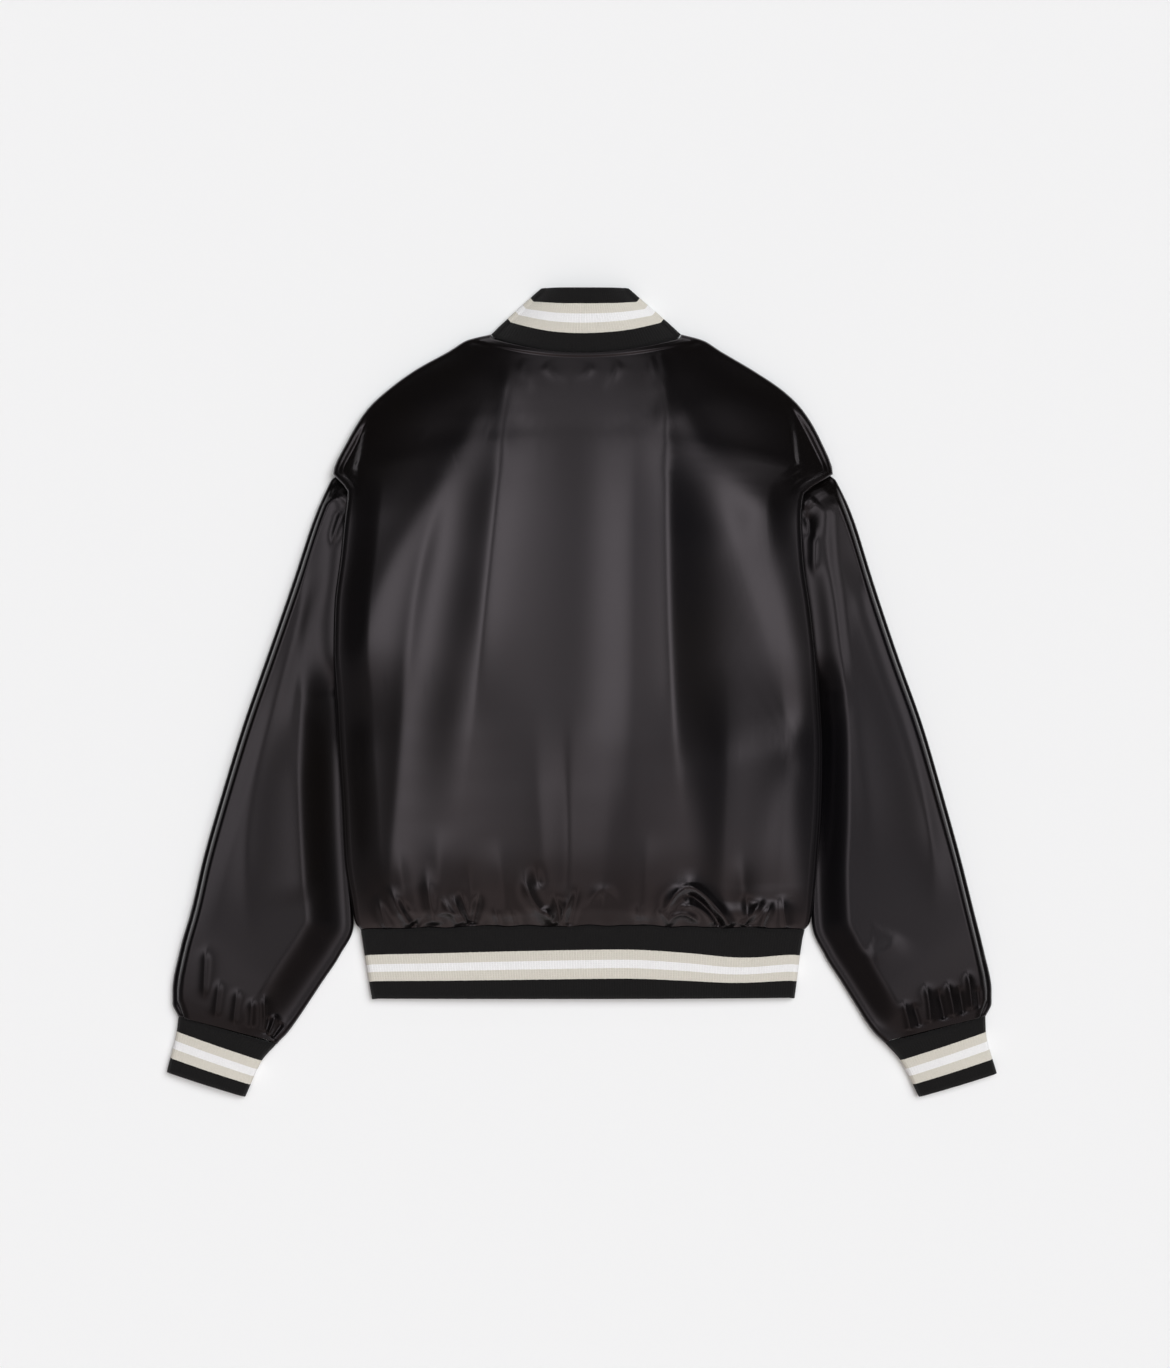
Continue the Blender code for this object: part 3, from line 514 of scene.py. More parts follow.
def back_half(side):
    section = body_section(side, back_levels)
    shares = np.linspace(0.0, 1.0, TOP_COUNT + 1)
    top = np.stack([top_point(section, share) for share in shares], axis=1)
    x, y = top[:, :, 0], top[:, :, 1]
    edge_x, edge_y = section["edge"]
    from_edge = np.hypot(x - edge_x[:, None], y - edge_y[:, None]) - section["roll_r"][:, None]
    calm = smooth(from_edge / EDGE_CALM)
    from_neck = (1.0 - back_levels[:, None]) * 330.0
    ridge = NECK_RIDGE_HEIGHT * smooth(1.6 - abs(from_neck - NECK_RIDGE / 2) / (NECK_RIDGE / 2))
    small = GATHER_SHARE * fold_height(HEM_GATHERS, x, y) + fold_height(NECK_PUCKERS, x, y)
    lift = calm * fold_height(BACK_FOLDS, x, y) + smooth(from_edge / 8.0) * small + ridge
    lift -= smooth(from_edge / 6.0) * crease_drop(side, x, y)
    wander = seam_wave(x) * (1.0 - smooth(back_levels[:, None] / 0.03)) * calm
    top = top + np.stack([np.zeros_like(lift), wander, lift], axis=-1)
    roll = [roll_point(section, j / ROLL_COUNT) for j in range(1, ROLL_COUNT + 1)]
    x, y = inset(section, section["tuck"])
    tuck = np.stack([x, y, section["roll_z"] - section["roll_r"]], axis=-1)
    return np.concatenate([top, np.stack(roll + [tuck], axis=1)], axis=1)


def back_points():
    left, right = back_half(-1), back_half(1)
    return np.concatenate([left[:, :0:-1], right], axis=1)


back = cloth("back_shell", back_points(), SATIN_WALL)
dress(back, black_satin, "satin", "back")

# %% [markdown]
# ## The fronts
#
# The fronts lie on the table. The left one laps over the right one at the closing, and both curl up at
# the side to meet the back. They are hidden from above, so they only need their true shape.

# %% The fronts
LAP, LAP_ROOM, LAP_RAMP = 12.5, 1.0, 9.0
LAP_LIFTS = {-1: 1.6, 1: 4.3}
RAMP_WIDTH = 22.0
ROW_STEP = 0.4              # rows of the grid stay at least this far apart where the shoulder turns
TIP_REACH = 241.0           # the corner under the shoulder tip is cut blunt here, inside the back's roll


def lap_lift(side, x, lift):
    return lift * smooth((LAP + LAP_ROOM + LAP_RAMP - side * x) / LAP_RAMP)


def front_points(side, levels):
    section = body_section(side, levels)
    short = TIP_CLEARANCE * smooth(2.0 - abs(levels - TIP_LEVEL) / 0.02)
    seam_x, seam_y = inset(section, section["tuck"] + SEAM_GAP + short)
    seam_x = side * np.minimum(side * seam_x, np.where(levels > ARMPIT, TIP_REACH, 999.0))
    steps = ROW_STEP * np.arange(len(levels))
    seam_y = np.maximum.accumulate(seam_y - steps) + steps
    armhole = smooth((levels - ARMPIT) / 0.012) * smooth((SHOULDER_LOW - levels) / 0.012)
    seam_z = (section["roll_z"] - section["roll_r"]) * (1.0 - armhole)
    lap_stops = np.concatenate([np.linspace(-LAP, LAP + LAP_ROOM, 8), LAP + LAP_ROOM + np.linspace(1, 9, 5)])
    columns = [np.full(levels.shape, side * x) for x in lap_stops]
    start = columns[-1]
    columns += [mix(start, seam_x - side * RAMP_WIDTH, i / 40) for i in range(1, 41)]
    columns += [seam_x - side * RAMP_WIDTH * (1 - i / 10) for i in range(1, 11)]
    placed = []
    for x in columns:
        share = np.maximum(side * x, 0.0) / (side * seam_x)
        rise = np.maximum(1.0 - side * (seam_x - x) / RAMP_WIDTH, 0.0) ** 1.6
        z = seam_z * rise + lap_lift(side, x, LAP_LIFTS[side])
        placed.append(np.stack([x, mix(FRONT_MIDDLE["mid_y"](levels), seam_y, share * share), z], axis=-1))
    return np.stack(placed, axis=1)


front_levels = np.linspace(0.0, 1.0, 121)
for side, name in ((-1, "front_left"), (1, "front_right")):
    front = cloth(name + "_shell", front_points(side, front_levels), SATIN_WALL, flip=side > 0)
    dress(front, black_satin, "satin", name)

# %% [markdown]
# ## The sleeves
#
# A sleeve is a flattened tube between an outer fold, which is the jacket's outline, and an inner fold,
# which slips under the body's edge. Its first ring follows the armhole, and the rings then swing round
# until they lie square to the cuff. The height rises slowly from the inner fold and fast at the outer.

# %% Sleeve tables
SLEEVE_COLUMNS = "ring outer_x outer_y inner_x inner_y roll_r loft"
SLEEVES = {
    1: read_table(SLEEVE_COLUMNS, (
        (0.00, 266.0, 227.5, 236.0, -2.0, 4.2, 13.5),
        (0.10, 285.0, 179.5, 239.5, -65.0, 4.0, 16.0),
        (0.20, 304.5, 117.0, 240.0, -127.0, 4.0, 17.5),
        (0.32, 330.5, 39.0, 238.5, -187.0, 4.0, 18.0),
        (0.45, 356.5, -34.0, 240.5, -242.0, 4.0, 18.0),
        (0.58, 379.3, -112.0, 254.0, -275.0, 4.2, 17.5),
        (0.70, 396.5, -174.0, 271.5, -303.0, 4.5, 16.5),
        (0.80, 409.5, -226.0, 287.0, -328.0, 4.8, 15.5),
        (0.88, 420.0, -268.0, 297.5, -345.0, 5.2, 13.0),
        (0.95, 428.5, -311.0, 307.0, -357.5, 5.8, 8.0),
        (0.98, 428.5, -325.0, 313.5, -363.5, 5.9, 5.5),
        (1.00, 422.5, -338.0, 316.5, -366.5, 6.0, 3.0),
    )),
    -1: read_table(SLEEVE_COLUMNS, (
        (0.00, 262.0, 226.5, 244.0, -3.0, 4.2, 13.5),
        (0.10, 281.0, 179.5, 245.5, -65.0, 4.0, 16.0),
        (0.20, 301.7, 117.0, 244.5, -127.0, 4.0, 17.5),
        (0.32, 328.8, 39.0, 241.5, -187.0, 4.0, 18.0),
        (0.45, 354.3, -34.0, 238.5, -242.0, 4.0, 18.0),
        (0.58, 378.3, -112.0, 253.0, -275.0, 4.2, 17.5),
        (0.70, 396.0, -174.0, 271.5, -303.0, 4.5, 16.5),
        (0.80, 408.0, -226.0, 288.0, -328.0, 4.8, 15.5),
        (0.88, 420.0, -268.0, 299.5, -345.0, 5.2, 13.0),
        (0.95, 428.0, -311.0, 309.0, -357.5, 5.8, 8.0),
        (0.98, 428.0, -325.0, 315.5, -364.0, 5.9, 5.5),
        (1.00, 422.0, -338.5, 318.5, -367.5, 6.0, 3.0),
    )),
}
ARMHOLE_BLEND = 0.16
SLEEVE_HUG, SLEEVE_OUTER_RISE, ARMHOLE_FALL = 6.0, 8.0, 50.0
OUTER_HASTE = 0.96          # how much sooner the outer fold leaves the armhole than the rest of a sleeve
SLEEVE_LEAN = 0.28          # how much lower a sleeve is towards the body than at its outer fold
SLEEVE_INNER_RISE = {-1: 44.0, 1: 34.0}
UNDERARM_DROP, UNDERARM_TOP = 3.0, 0.43

# Folds along each sleeve, in the same columns as the back's.
SLEEVE_FOLDS = {
    -1: (
        (-276, 158, -319, -8, -346, -130, -343, -270, 1.6, 22, 15, 5.0, 0.15, 0.25),
        (-302, -40, -296, -112, -293, -174, -288, -222, 1.6, 24, 11, 6.0, 0.30, 0.20),
        (-282, 120, -288, 60, -298, 0, -300, -60, -1.6, 16, 12, 6.0, 0.30, 0.35),
        (-372, -110, -384, -160, -396, -215, -406, -262, 0.8, 14, 14, 6.0, 0.35, 0.35),
    ),
    1: (
        (284, 132, 320, 28, 352, -80, 368, -240, 2.0, 13, 18, 4.0, 0.15, 0.20),
        (262, 150, 272, 60, 290, -60, 304, -200, 1.2, 16, 22, 8.0, 0.20, 0.25),
        (330, -250, 322, -262, 306, -272, 292, -268, 1.4, 8, 10, 3.0, 0.35, 0.35),
    ),
}
SLEEVE_GATHERS = {
    -1: (
        (-391, -262, -391, -280, -392, -298, -393, -322, 1.8, 4.0, 4.0, 1.5, 0.3, 0.2),
        (-376, -296, -378, -312, -380, -326, -382, -341, 1.6, 3.6, 3.6, 1.5, 0.3, 0.2),
        (-358, -306, -359, -320, -361, -334, -362, -347, 1.6, 3.4, 3.6, 1.5, 0.3, 0.2),
        (-343, -316, -343, -329, -344, -341, -345, -352, 1.8, 3.4, 3.2, 1.4, 0.3, 0.2),
        (-331, -312, -330, -328, -330, -343, -331, -357, 2.6, 3.0, 3.0, 1.0, 0.3, 0.15),
        (-318, -334, -321, -343, -324, -351, -328, -358, 3.0, 2.4, 2.6, 0.9, 0.25, 0.15),
        (-312, -344, -316, -349, -320, -355, -324, -361, -2.6, 2.2, 2.4, 0.8, 0.25, 0.15),
        (-326, -336, -327, -343, -329, -350, -331, -357, -2.2, 2.0, 2.0, 0.8, 0.3, 0.15),
        (-240, 197, -247, 202, -254, 208, -262, 212, 2.6, 3.0, 4.0, 1.2, 0.2, 0.2),
        (-249, 190, -252, 180, -256, 168, -260, 150, 2.2, 3.0, 4.0, 1.4, 0.2, 0.3),
    ),
    1: (
        (356, -300, 360, -316, 362, -330, 364, -346, 2.6, 3.2, 3.4, 1.2, 0.3, 0.12),
        (370, -306, 373, -319, 376, -331, 378, -342, -2.6, 2.8, 3.0, 1.0, 0.3, 0.12),
        (380, -298, 383, -313, 386, -326, 388, -339, 2.8, 3.0, 3.2, 1.1, 0.3, 0.12),
        (391, -304, 394, -315, 396, -326, 398, -336, -2.6, 2.6, 2.8, 1.0, 0.3, 0.12),
        (400, -288, 403, -302, 405, -316, 407, -332, 2.8, 3.0, 3.0, 1.1, 0.3, 0.12),
        (411, -306, 412, -313, 413, -321, 414, -330, -2.2, 2.4, 2.4, 1.0, 0.3, 0.12),
        (345, -322, 347, -331, 350, -340, 352, -350, -2.0, 2.6, 2.6, 1.0, 0.3, 0.15),
        (334, -318, 337, -331, 340, -343, 342, -354, 2.0, 3.0, 3.0, 1.2, 0.3, 0.15),
        (229, 192, 238, 201, 249, 209, 262, 213, 4.0, 3.0, 5.0, 1.2, 0.12, 0.2),
        (233, 186, 236, 178, 238, 168, 240, 156, -3.0, 3.0, 4.0, 1.4, 0.2, 0.3),
        (240, 178, 241, 160, 241, 140, 241, 118, 2.2, 3.0, 4.0, 1.4, 0.25, 0.3),
    ),
}


# %% Sleeve rings
def armhole_seam(side, levels):
    section = body_section(side, levels)
    x, y = inset(section, section["tuck"])
    drop = SEAM_GAP + UNDERARM_DROP * smooth((UNDERARM_TOP - levels) / (UNDERARM_TOP - ARMPIT))
    return np.stack([x, y, section["roll_z"] - section["roll_r"] - drop], axis=-1)


def fold_path(table, side, which):
    k = np.linspace(0.0, 1.0, 40)
    return np.stack([side * table[which + "_x"](k), table[which + "_y"](k)], axis=-1)


def path_inward(table, side, which, ring):
    ring = min(max(ring, 0.04), 0.92)
    x0, y0 = table[which + "_x"](ring - 0.03), table[which + "_y"](ring - 0.03)
    x1, y1 = table[which + "_x"](ring + 0.03), table[which + "_y"](ring + 0.03)
    length = math.hypot(x1 - x0, y1 - y0)
    turn = 1.0 if which == "outer" else -1.0
    return np.array([turn * (y1 - y0) / length * side, -turn * (x1 - x0) / length])


ACROSS, ACROSS_BELOW, SLEEVE_ROLL = 104, 26, 8


sleeve_rings = np.concatenate([np.linspace(0.0, 0.16, 30)[:-1], np.linspace(0.16, 0.85, 70)[:-1],
                               np.linspace(0.85, 1.0, 42)])


def sleeve_points(side):
    table = SLEEVES[side]
    share = np.linspace(0.0, 1.0, ACROSS)
    seam = armhole_seam(side, np.linspace(ARMHOLE_HIGH, ARMHOLE_LOW, ACROSS))
    outer_path = fold_path(table, side, "outer")
    inner_path = np.concatenate([seam[::3, :2], fold_path(table, side, "inner")])
    radius = table["roll_r"](sleeve_rings)[:, None]
    loft = table["loft"](sleeve_rings)[:, None]
    leave = np.sin(math.pi / 2 * np.minimum(sleeve_rings / ARMHOLE_BLEND, 1.0))[:, None]
    outer_in = np.stack([path_inward(table, side, "outer", ring) for ring in sleeve_rings])
    inner_in = np.stack([path_inward(table, side, "inner", ring) for ring in sleeve_rings])
    start = np.stack([side * table["outer_x"](sleeve_rings), table["outer_y"](sleeve_rings)], axis=1)
    end = np.stack([side * table["inner_x"](sleeve_rings), table["inner_y"](sleeve_rings)], axis=1)
    start, end = start + radius * outer_in, end + radius * inner_in
    sooner = leave ** (1.0 - OUTER_HASTE * (1.0 - smooth(share / 0.25)))
    x = mix(seam[:, 0], mix(start[:, :1], end[:, :1], share), sooner)
    y = mix(seam[:, 1], mix(start[:, 1:], end[:, 1:], share), sooner)

    from_armhole, place, _ = nearest_on(seam[::2], x, y)
    local_z = np.interp(place, np.linspace(0.0, 1.0, len(seam[::2])), seam[::2, 2])
    base = mix(local_z, 2 * radius, smooth(from_armhole / ARMHOLE_FALL))
    base[0] = seam[:, 2]
    from_inner, from_outer = nearest_on(inner_path, x, y)[0], nearest_on(outer_path, x, y)[0]
    rise = smooth((from_inner - SLEEVE_HUG) / SLEEVE_INNER_RISE[side])
    turning = np.clip((from_outer - radius) / SLEEVE_OUTER_RISE, 0.0, 1.0)
    rise = rise * np.sqrt(1.0 - (1.0 - turning) ** 2)
    rise = rise * (1.0 - SLEEVE_LEAN * from_outer / (from_outer + from_inner + 1.0))
    calm = smooth((from_outer - radius) / 25.0) * smooth((from_inner - SLEEVE_HUG) / 25.0)
    folds = calm * fold_height(SLEEVE_FOLDS[side], x, y)
    gathers = smooth((from_outer - radius) / 8.0) * smooth(from_inner / 8.0)
    folds = folds + gathers * fold_height(SLEEVE_GATHERS[side], x, y)
    top = np.stack([x, y, base + loft * rise + folds], axis=-1)
    below = np.linspace(ACROSS - 1, 0, ACROSS_BELOW).round().astype(int)
    bottom = np.stack([x, y, np.zeros_like(x)], axis=-1)[:, below]

    def turned(a, b, direction, away):
        """The fold that joins the upper layer's edge to the lower layer's."""
        into = mix(away, direction, leave)
        into = into / np.linalg.norm(into, axis=1, keepdims=True)
        angle = math.pi * np.arange(1, SLEEVE_ROLL) / SLEEVE_ROLL
        plan = a[:, None, :2] - (radius * np.sin(angle))[:, :, None] * into[:, None]
        z = (a[:, 2:] + b[:, 2:]) / 2 + (a[:, 2:] - b[:, 2:]) / 2 * np.cos(angle)
        return np.concatenate([plan, z[:, :, None]], axis=2)

    tip_inward = np.array(body_section(side, ARMHOLE_HIGH)["inward"])
    inner_turn = turned(top[:, -1], bottom[:, 0], inner_in, np.array([0.0, 1.0]))
    outer_turn = turned(bottom[:, -1], top[:, 0], outer_in, tip_inward)
    return np.concatenate([top, inner_turn, bottom, outer_turn, top[:, :1]], axis=1)


for side, name in ((-1, "sleeve_left"), (1, "sleeve_right")):
    sleeve = cloth(name + "_shell", sleeve_points(side), SATIN_WALL, closed=True, flip=side < 0)
    dress(sleeve, sleeve_satin, "satin", name)

# %% [markdown]
# ## Striped rib
#
# Collar, cuffs and hem band are knitted rib in one stripe sequence: black, cream, white, cream, black.
# The stripes run along the band, so the material reads how far across the band a point is from the UV
# map. The ribs themselves are modelled, and a finer bump adds the stitches between them.

# %% Rib material
COURSES = 38                # rows of stitches across a band
STRIPES = (
    ("black", (0.0060, 0.0056, 0.0058, 1.0)),
    ("cream", (0.640, 0.605, 0.535, 1.0)),
    ("white", (0.83, 0.82, 0.82, 1.0)),
)


def rib_material(name, edges, ribs, smile=0.0):
    """edges: shares across the band at which the five stripes change; ribs: how many ribs along it;
    smile: how far the stripes rise where the back turns over to the front."""
    made, nodes, links, shader = new_material(name)
    colours = dict(STRIPES)
    place = nodes.new("ShaderNodeTexCoord").outputs["Object"]
    uv = nodes.new("ShaderNodeUVMap")
    uv.uv_map = "UVMap"
    split = nodes.new("ShaderNodeSeparateXYZ")
    links.new(uv.outputs["UV"], split.inputs["Vector"])
    along, across = split.outputs["X"], split.outputs["Y"]
    from_back = calculated(nodes, links, "ABSOLUTE", calculated(nodes, links, "SUBTRACT", along, 0.5))
    sunk = ranged(nodes, links, from_back, 0.07, 0.25, 0.0, smile)
    level = calculated(nodes, links, "SUBTRACT", across, sunk)
    ragged = calculated(nodes, links, "MULTIPLY_ADD", noise(nodes, links, place, 900.0), 0.010, level)
    stripes = nodes.new("ShaderNodeValToRGB")
    stripes.color_ramp.interpolation = "CONSTANT"
    ramp = stripes.color_ramp.elements
    ramp[0].position, ramp[0].color = 0.0, colours["black"]
    ramp[1].position, ramp[1].color = edges[0] + 0.005, colours["cream"]
    for position, colour in zip(edges[1:], ("white", "cream", "black")):
        stop = ramp.new(position + 0.005)
        stop.color = colours[colour]
    links.new(ragged, stripes.inputs["Fac"])

    shade = ranged(nodes, links, noise(nodes, links, place, 700.0, 3.0), 0.0, 1.0, 0.90, 1.06, "LINEAR")
    toned = nodes.new("ShaderNodeVectorMath")
    toned.operation = "SCALE"
    links.new(stripes.outputs["Color"], toned.inputs[0])
    links.new(shade, toned.inputs["Scale"])
    links.new(toned.outputs["Vector"], shader.inputs["Base Color"])

    courses = calculated(nodes, links, "MULTIPLY", across, 2 * math.pi * COURSES)
    wales = calculated(nodes, links, "MULTIPLY", along, 2 * math.pi * ribs * 2)
    stitch = calculated(nodes, links, "MULTIPLY_ADD", calculated(nodes, links, "SINE", courses), 0.5,
                        calculated(nodes, links, "SINE", wales))
    bumped(nodes, links, shader, stitch, 0.35, 0.00025)
    shader.inputs["Roughness"].default_value = 0.9
    shader.inputs["Specular IOR Level"].default_value = 0.25
    shader.inputs["Sheen Weight"].default_value = 0.08
    shader.inputs["Sheen Roughness"].default_value = 0.6
    return made


# %% [markdown]
# ## Open bands
#
# The hem band and the collar are open strips that go right round the jacket and meet at the front. A
# point on such a strip is the same distance across it everywhere, so one line of places, from one front
# end over the back to the other, is repeated across the band. A ripple along it makes the ribs.

# %% Band helper
RIB_HEIGHT = 0.32
POINTS_A_RIB = 4


def way_along(line):
    """How far along a line each of its points lies."""
    return np.concatenate([[0.0], np.cumsum(np.linalg.norm(np.diff(line, axis=0), axis=1))])


def ribbed(rows, count, closed=False):
    """Resample each line round a band evenly, and raise the ribs square to it."""
    lines, ways = [], []
    for line in rows:
        along = way_along(line)
        at = np.linspace(0.0, along[-1], count * POINTS_A_RIB + 1)
        even = np.stack([np.interp(at, along, line[:, k]) for k in range(3)], axis=1)
        ahead = np.roll(even, -1, axis=0) - np.roll(even, 1, axis=0)
        if not closed:
            ahead[0], ahead[-1] = even[1] - even[0], even[-1] - even[-2]
        else:
            ahead[0] = ahead[-1] = even[1] - even[-2]
        lines.append(even)
        ways.append(ahead)
    grid = np.stack(lines)
    normal = np.cross(np.stack(ways), np.gradient(grid, axis=0))
    normal /= np.linalg.norm(normal, axis=2, keepdims=True)
    phase = 2 * math.pi * np.arange(grid.shape[1]) / POINTS_A_RIB
    return grid, normal, RIB_HEIGHT * (np.cos(phase) - 1.0) / 2


def square_inward(table, side, ring, square):
    """The way in from a band's side, which turns straight sideways towards its last ring."""
    way = np.array(inward(table, side, ring, high=0.85))
    way = mix(way, np.array([-side, 0.0]), square * smooth((ring - 0.85) / 0.15))
    return way / np.linalg.norm(way)


def band_line(table, ring, roll, front_y, ends, lifts, square=0.0, top_count=60, front_count=50):
    halves = {}
    for side in (-1, 1):
        section = {
            "edge": edge_point(table, side, ring), "inward": square_inward(table, side, ring, square),
            "mid_y": table["mid_y"](ring), "crown": table["crown"](ring), "roll_z": roll, "roll_r": roll,
        }
        half = [top_point(section, i / top_count) for i in range(top_count + 1)]
        half += [roll_point(section, j / 12) for j in range(1, 13)]
        bx, by = inset(section, roll)
        for i in range(1, front_count + 1):
            x = mix(bx, side * ends, i / front_count)
            share = max(side * x, 0.0) / (side * bx)
            half.append(np.array([x, mix(front_y, by, share * share), lap_lift(side, x, lifts[side])]))
        halves[side] = half
    return np.stack(halves[-1][:0:-1] + halves[1])


# %% The hem band
HEM_BAND = read_table("ring mid_y left_x left_y right_x right_y crown", (
    (0.00, -319.5, 219.5, -320.5, 222.5, -319.5, 16.0),
    (0.88, -251.0, 229.8, -257.0, 231.0, -257.0, 18.5),
    (1.00, -243.4, 231.0, -248.4, 233.0, -248.4, 19.0),
))
HEM_ROLL = 6.5
HEM_RIBS = 350
HEM_RIGHT_LIFT = 4.2        # the band's right end lies on its left one
# The stripes don't run straight: how far they rise or sink along the band, in the middle of its width.
HEM_BEND = read_table("x rise", (
    (-225.0, 0.5), (-165.0, -0.5), (-60.0, 0.3), (0.0, 1.2), (45.0, 1.8),
    (110.0, -1.2), (165.0, -6.2), (225.0, -9.6),
))


def hem_points():
    rings = np.linspace(0.0, 1.0, 17)
    lines = [band_line(HEM_BAND, ring, HEM_ROLL, HEM_BAND["mid_y"](ring), -LAP, {-1: 0.0, 1: HEM_RIGHT_LIFT})
             for ring in rings]
    grid, normal, ripple = ribbed(lines, HEM_RIBS)
    on_back = smooth((grid[:, :, 2] - 2 * HEM_ROLL) / 4.0)
    grid[:, :, 1] += seam_wave(grid[:, :, 0]) * smooth((rings[:, None] - 0.7) / 0.3) * on_back
    grid[:, :, 1] += HEM_BEND["rise"](grid[:, :, 0]) * np.sin(math.pi * rings[:, None]) * on_back
    return grid + normal * ripple[None, :, None]


hem = cloth("hem_band_rib", hem_points(), RIB_WALL)
hem_rib = rib_material("hem_rib", (0.252, 0.385, 0.493, 0.628), HEM_RIBS)
dress(hem, hem_rib, "rib", "hem_band")

# %% The collar
COLLAR = read_table("ring mid_y left_x left_y right_x right_y front_y crown", (
    (0.00, 353.4, 94.8, 374.4, 103.8, 374.4, 275.4, 30.0),
    (0.35, 377.5, 77.0, 391.5, 84.8, 391.5, 299.5, 26.5),
    (0.80, 408.5, 53.0, 413.2, 59.6, 413.2, 330.5, 21.5),
    (0.97, 420.3, 44.2, 421.0, 50.8, 421.0, 342.2, 19.3),
    (1.00, 421.8, 42.6, 422.2, 49.2, 422.2, 344.0, 19.0),
))
COLLAR_ROLL = 5.6
COLLAR_RIBS = 150


def collar_points():
    rings = np.linspace(0.0, 1.0, 21)
    lines = [band_line(COLLAR, ring, COLLAR_ROLL, COLLAR["front_y"](ring), 1.0, {-1: 0.0, 1: 0.0}, 1.0)
             for ring in rings]
    grid, normal, ripple = ribbed(lines, COLLAR_RIBS)
    return grid + normal * ripple[None, :, None]


collar = cloth("collar_rib", collar_points(), RIB_WALL)
collar_rib = rib_material("collar_rib", (0.285, 0.445, 0.585, 0.745), COLLAR_RIBS, smile=0.055)
dress(collar, collar_rib, "rib", "collar")

# %% [markdown]
# ## Cuffs
#
# A cuff is a closed band, a little narrower than the sleeve that is gathered into it.

# %% The cuffs
CUFF_COLUMNS = "ring outer_x outer_y inner_x inner_y"
CUFFS = {
    1: read_table(CUFF_COLUMNS, (
        (0.0, 421.9, -337.3, 316.9, -366.3),
        (0.3, 422.5, -354.2, 332.5, -384.0),
        (1.0, 434.0, -397.8, 352.0, -422.5),
    )),
    -1: read_table(CUFF_COLUMNS, (
        (0.0, 421.4, -337.8, 318.9, -367.3),
        (0.3, 423.5, -353.5, 334.0, -384.5),
        (1.0, 434.0, -396.3, 351.5, -422.5),
    )),
}
CUFF_ROLL, CUFF_LOFT = 6.0, 2.5
CUFF_RIBS = 72


def cuff_line(side, ring):
    table = CUFFS[side]
    outer = np.array([side * table["outer_x"](ring), table["outer_y"](ring)])
    inner = np.array([side * table["inner_x"](ring), table["inner_y"](ring)])
    width = np.linalg.norm(inner - outer) - 2 * CUFF_ROLL
    way = (inner - outer) / np.linalg.norm(inner - outer)
    distance, height = [], []
    across = CUFF_ROLL + width * np.linspace(0.0, 1.0, 30)
    distance += list(across)
    height += list(2 * CUFF_ROLL + CUFF_LOFT * np.sin(math.pi * (across - CUFF_ROLL) / width))
    angle = math.pi * np.arange(1, 8) / 8
    distance += list(across[-1] + CUFF_ROLL * np.sin(angle))
    height += list(CUFF_ROLL + CUFF_ROLL * np.cos(angle))
    distance += list(across[::-1])
    height += [0.0] * len(across)
    distance += list(across[0] - CUFF_ROLL * np.sin(angle))
    height += list(CUFF_ROLL - CUFF_ROLL * np.cos(angle))
    distance, height = np.array(distance + distance[:1]), np.array(height + height[:1])
    return np.concatenate([outer + distance[:, None] * way, height[:, None]], axis=1)


cuff_rib = rib_material("cuff_rib", (0.30, 0.46, 0.60, 0.76), CUFF_RIBS)
for side, name in ((-1, "cuff_left"), (1, "cuff_right")):
    lines = [cuff_line(side, ring) for ring in np.linspace(0.0, 1.0, 15)]
    grid, normal, ripple = ribbed(lines, CUFF_RIBS, closed=True)
    points = grid + side * normal * ripple[None, :, None]
    points[:, -1] = points[:, 0]
    cuff = cloth(name + "_rib", points, RIB_WALL, closed=True, flip=side < 0)
    dress(cuff, cuff_rib, "rib", name)

# %% [markdown]
# ## Press studs
#
# The hidden closing has six painted press studs. Each is a turned cap: its profile is spun round the
# stud's middle, and the faces are closed where the turn meets itself.

# %% Studs
STUD_PROFILE = (            # radius and height, from the cap's underside to its top
    (0.0, 0.15), (4.6, 0.15), (5.0, 0.0), (6.9, 0.0), (7.5, 0.35), (7.5, 0.9), (7.1, 1.2), (0.0, 1.2),
)


def stud_material():
    made, nodes, links, shader = new_material("painted_stud")
    place = nodes.new("ShaderNodeTexCoord").outputs["Object"]
    wear = noise(nodes, links, place, 420.0, 4.0)
    links.new(ranged(nodes, links, wear, 0.0, 1.0, 0.28, 0.46, "LINEAR"), shader.inputs["Roughness"])
    shader.inputs["Base Color"].default_value = (0.012, 0.012, 0.013, 1.0)
    shader.inputs["Metallic"].default_value = 0.3
    return made


stud_paint = stud_material()
for number in range(1, 7):
    low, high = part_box(f"stud_{number}")
    x, y = (low[0] + high[0]) / 2, (low[1] + high[1]) / 2
    shape = bmesh.new()
    verts = [shape.verts.new((x + r * MM, y, z * MM)) for r, z in STUD_PROFILE]
    lines = [shape.edges.new(pair) for pair in zip(verts, verts[1:])]
    bmesh.ops.spin(shape, geom=verts + lines, cent=(x, y, 0.0), axis=(0, 0, 1), angle=2 * math.pi,
                   steps=36, use_merge=True, dvec=(0, 0, 0))
    bmesh.ops.remove_doubles(shape, verts=shape.verts, dist=1e-6)
    bmesh.ops.recalc_face_normals(shape, faces=shape.faces)
    stud = placed(shape, f"stud_{number}_cap")
    stud.data.shade_smooth()
    stud.data.set_sharp_from_angle(angle=math.radians(35))
    dress(stud, stud_paint, "stud", f"stud_{number}")

# %% [markdown]
# ## What was cut from the cloth
#
# Each piece was cut flat and laid down. A row gives the cut's width and length, and its area, because
# necks, armholes and shoulders are cut out of the rectangle. Sleeves and cuffs are measured all round.
# The numbers were read off the dressed pieces' own surfaces, because there is no pattern to measure.

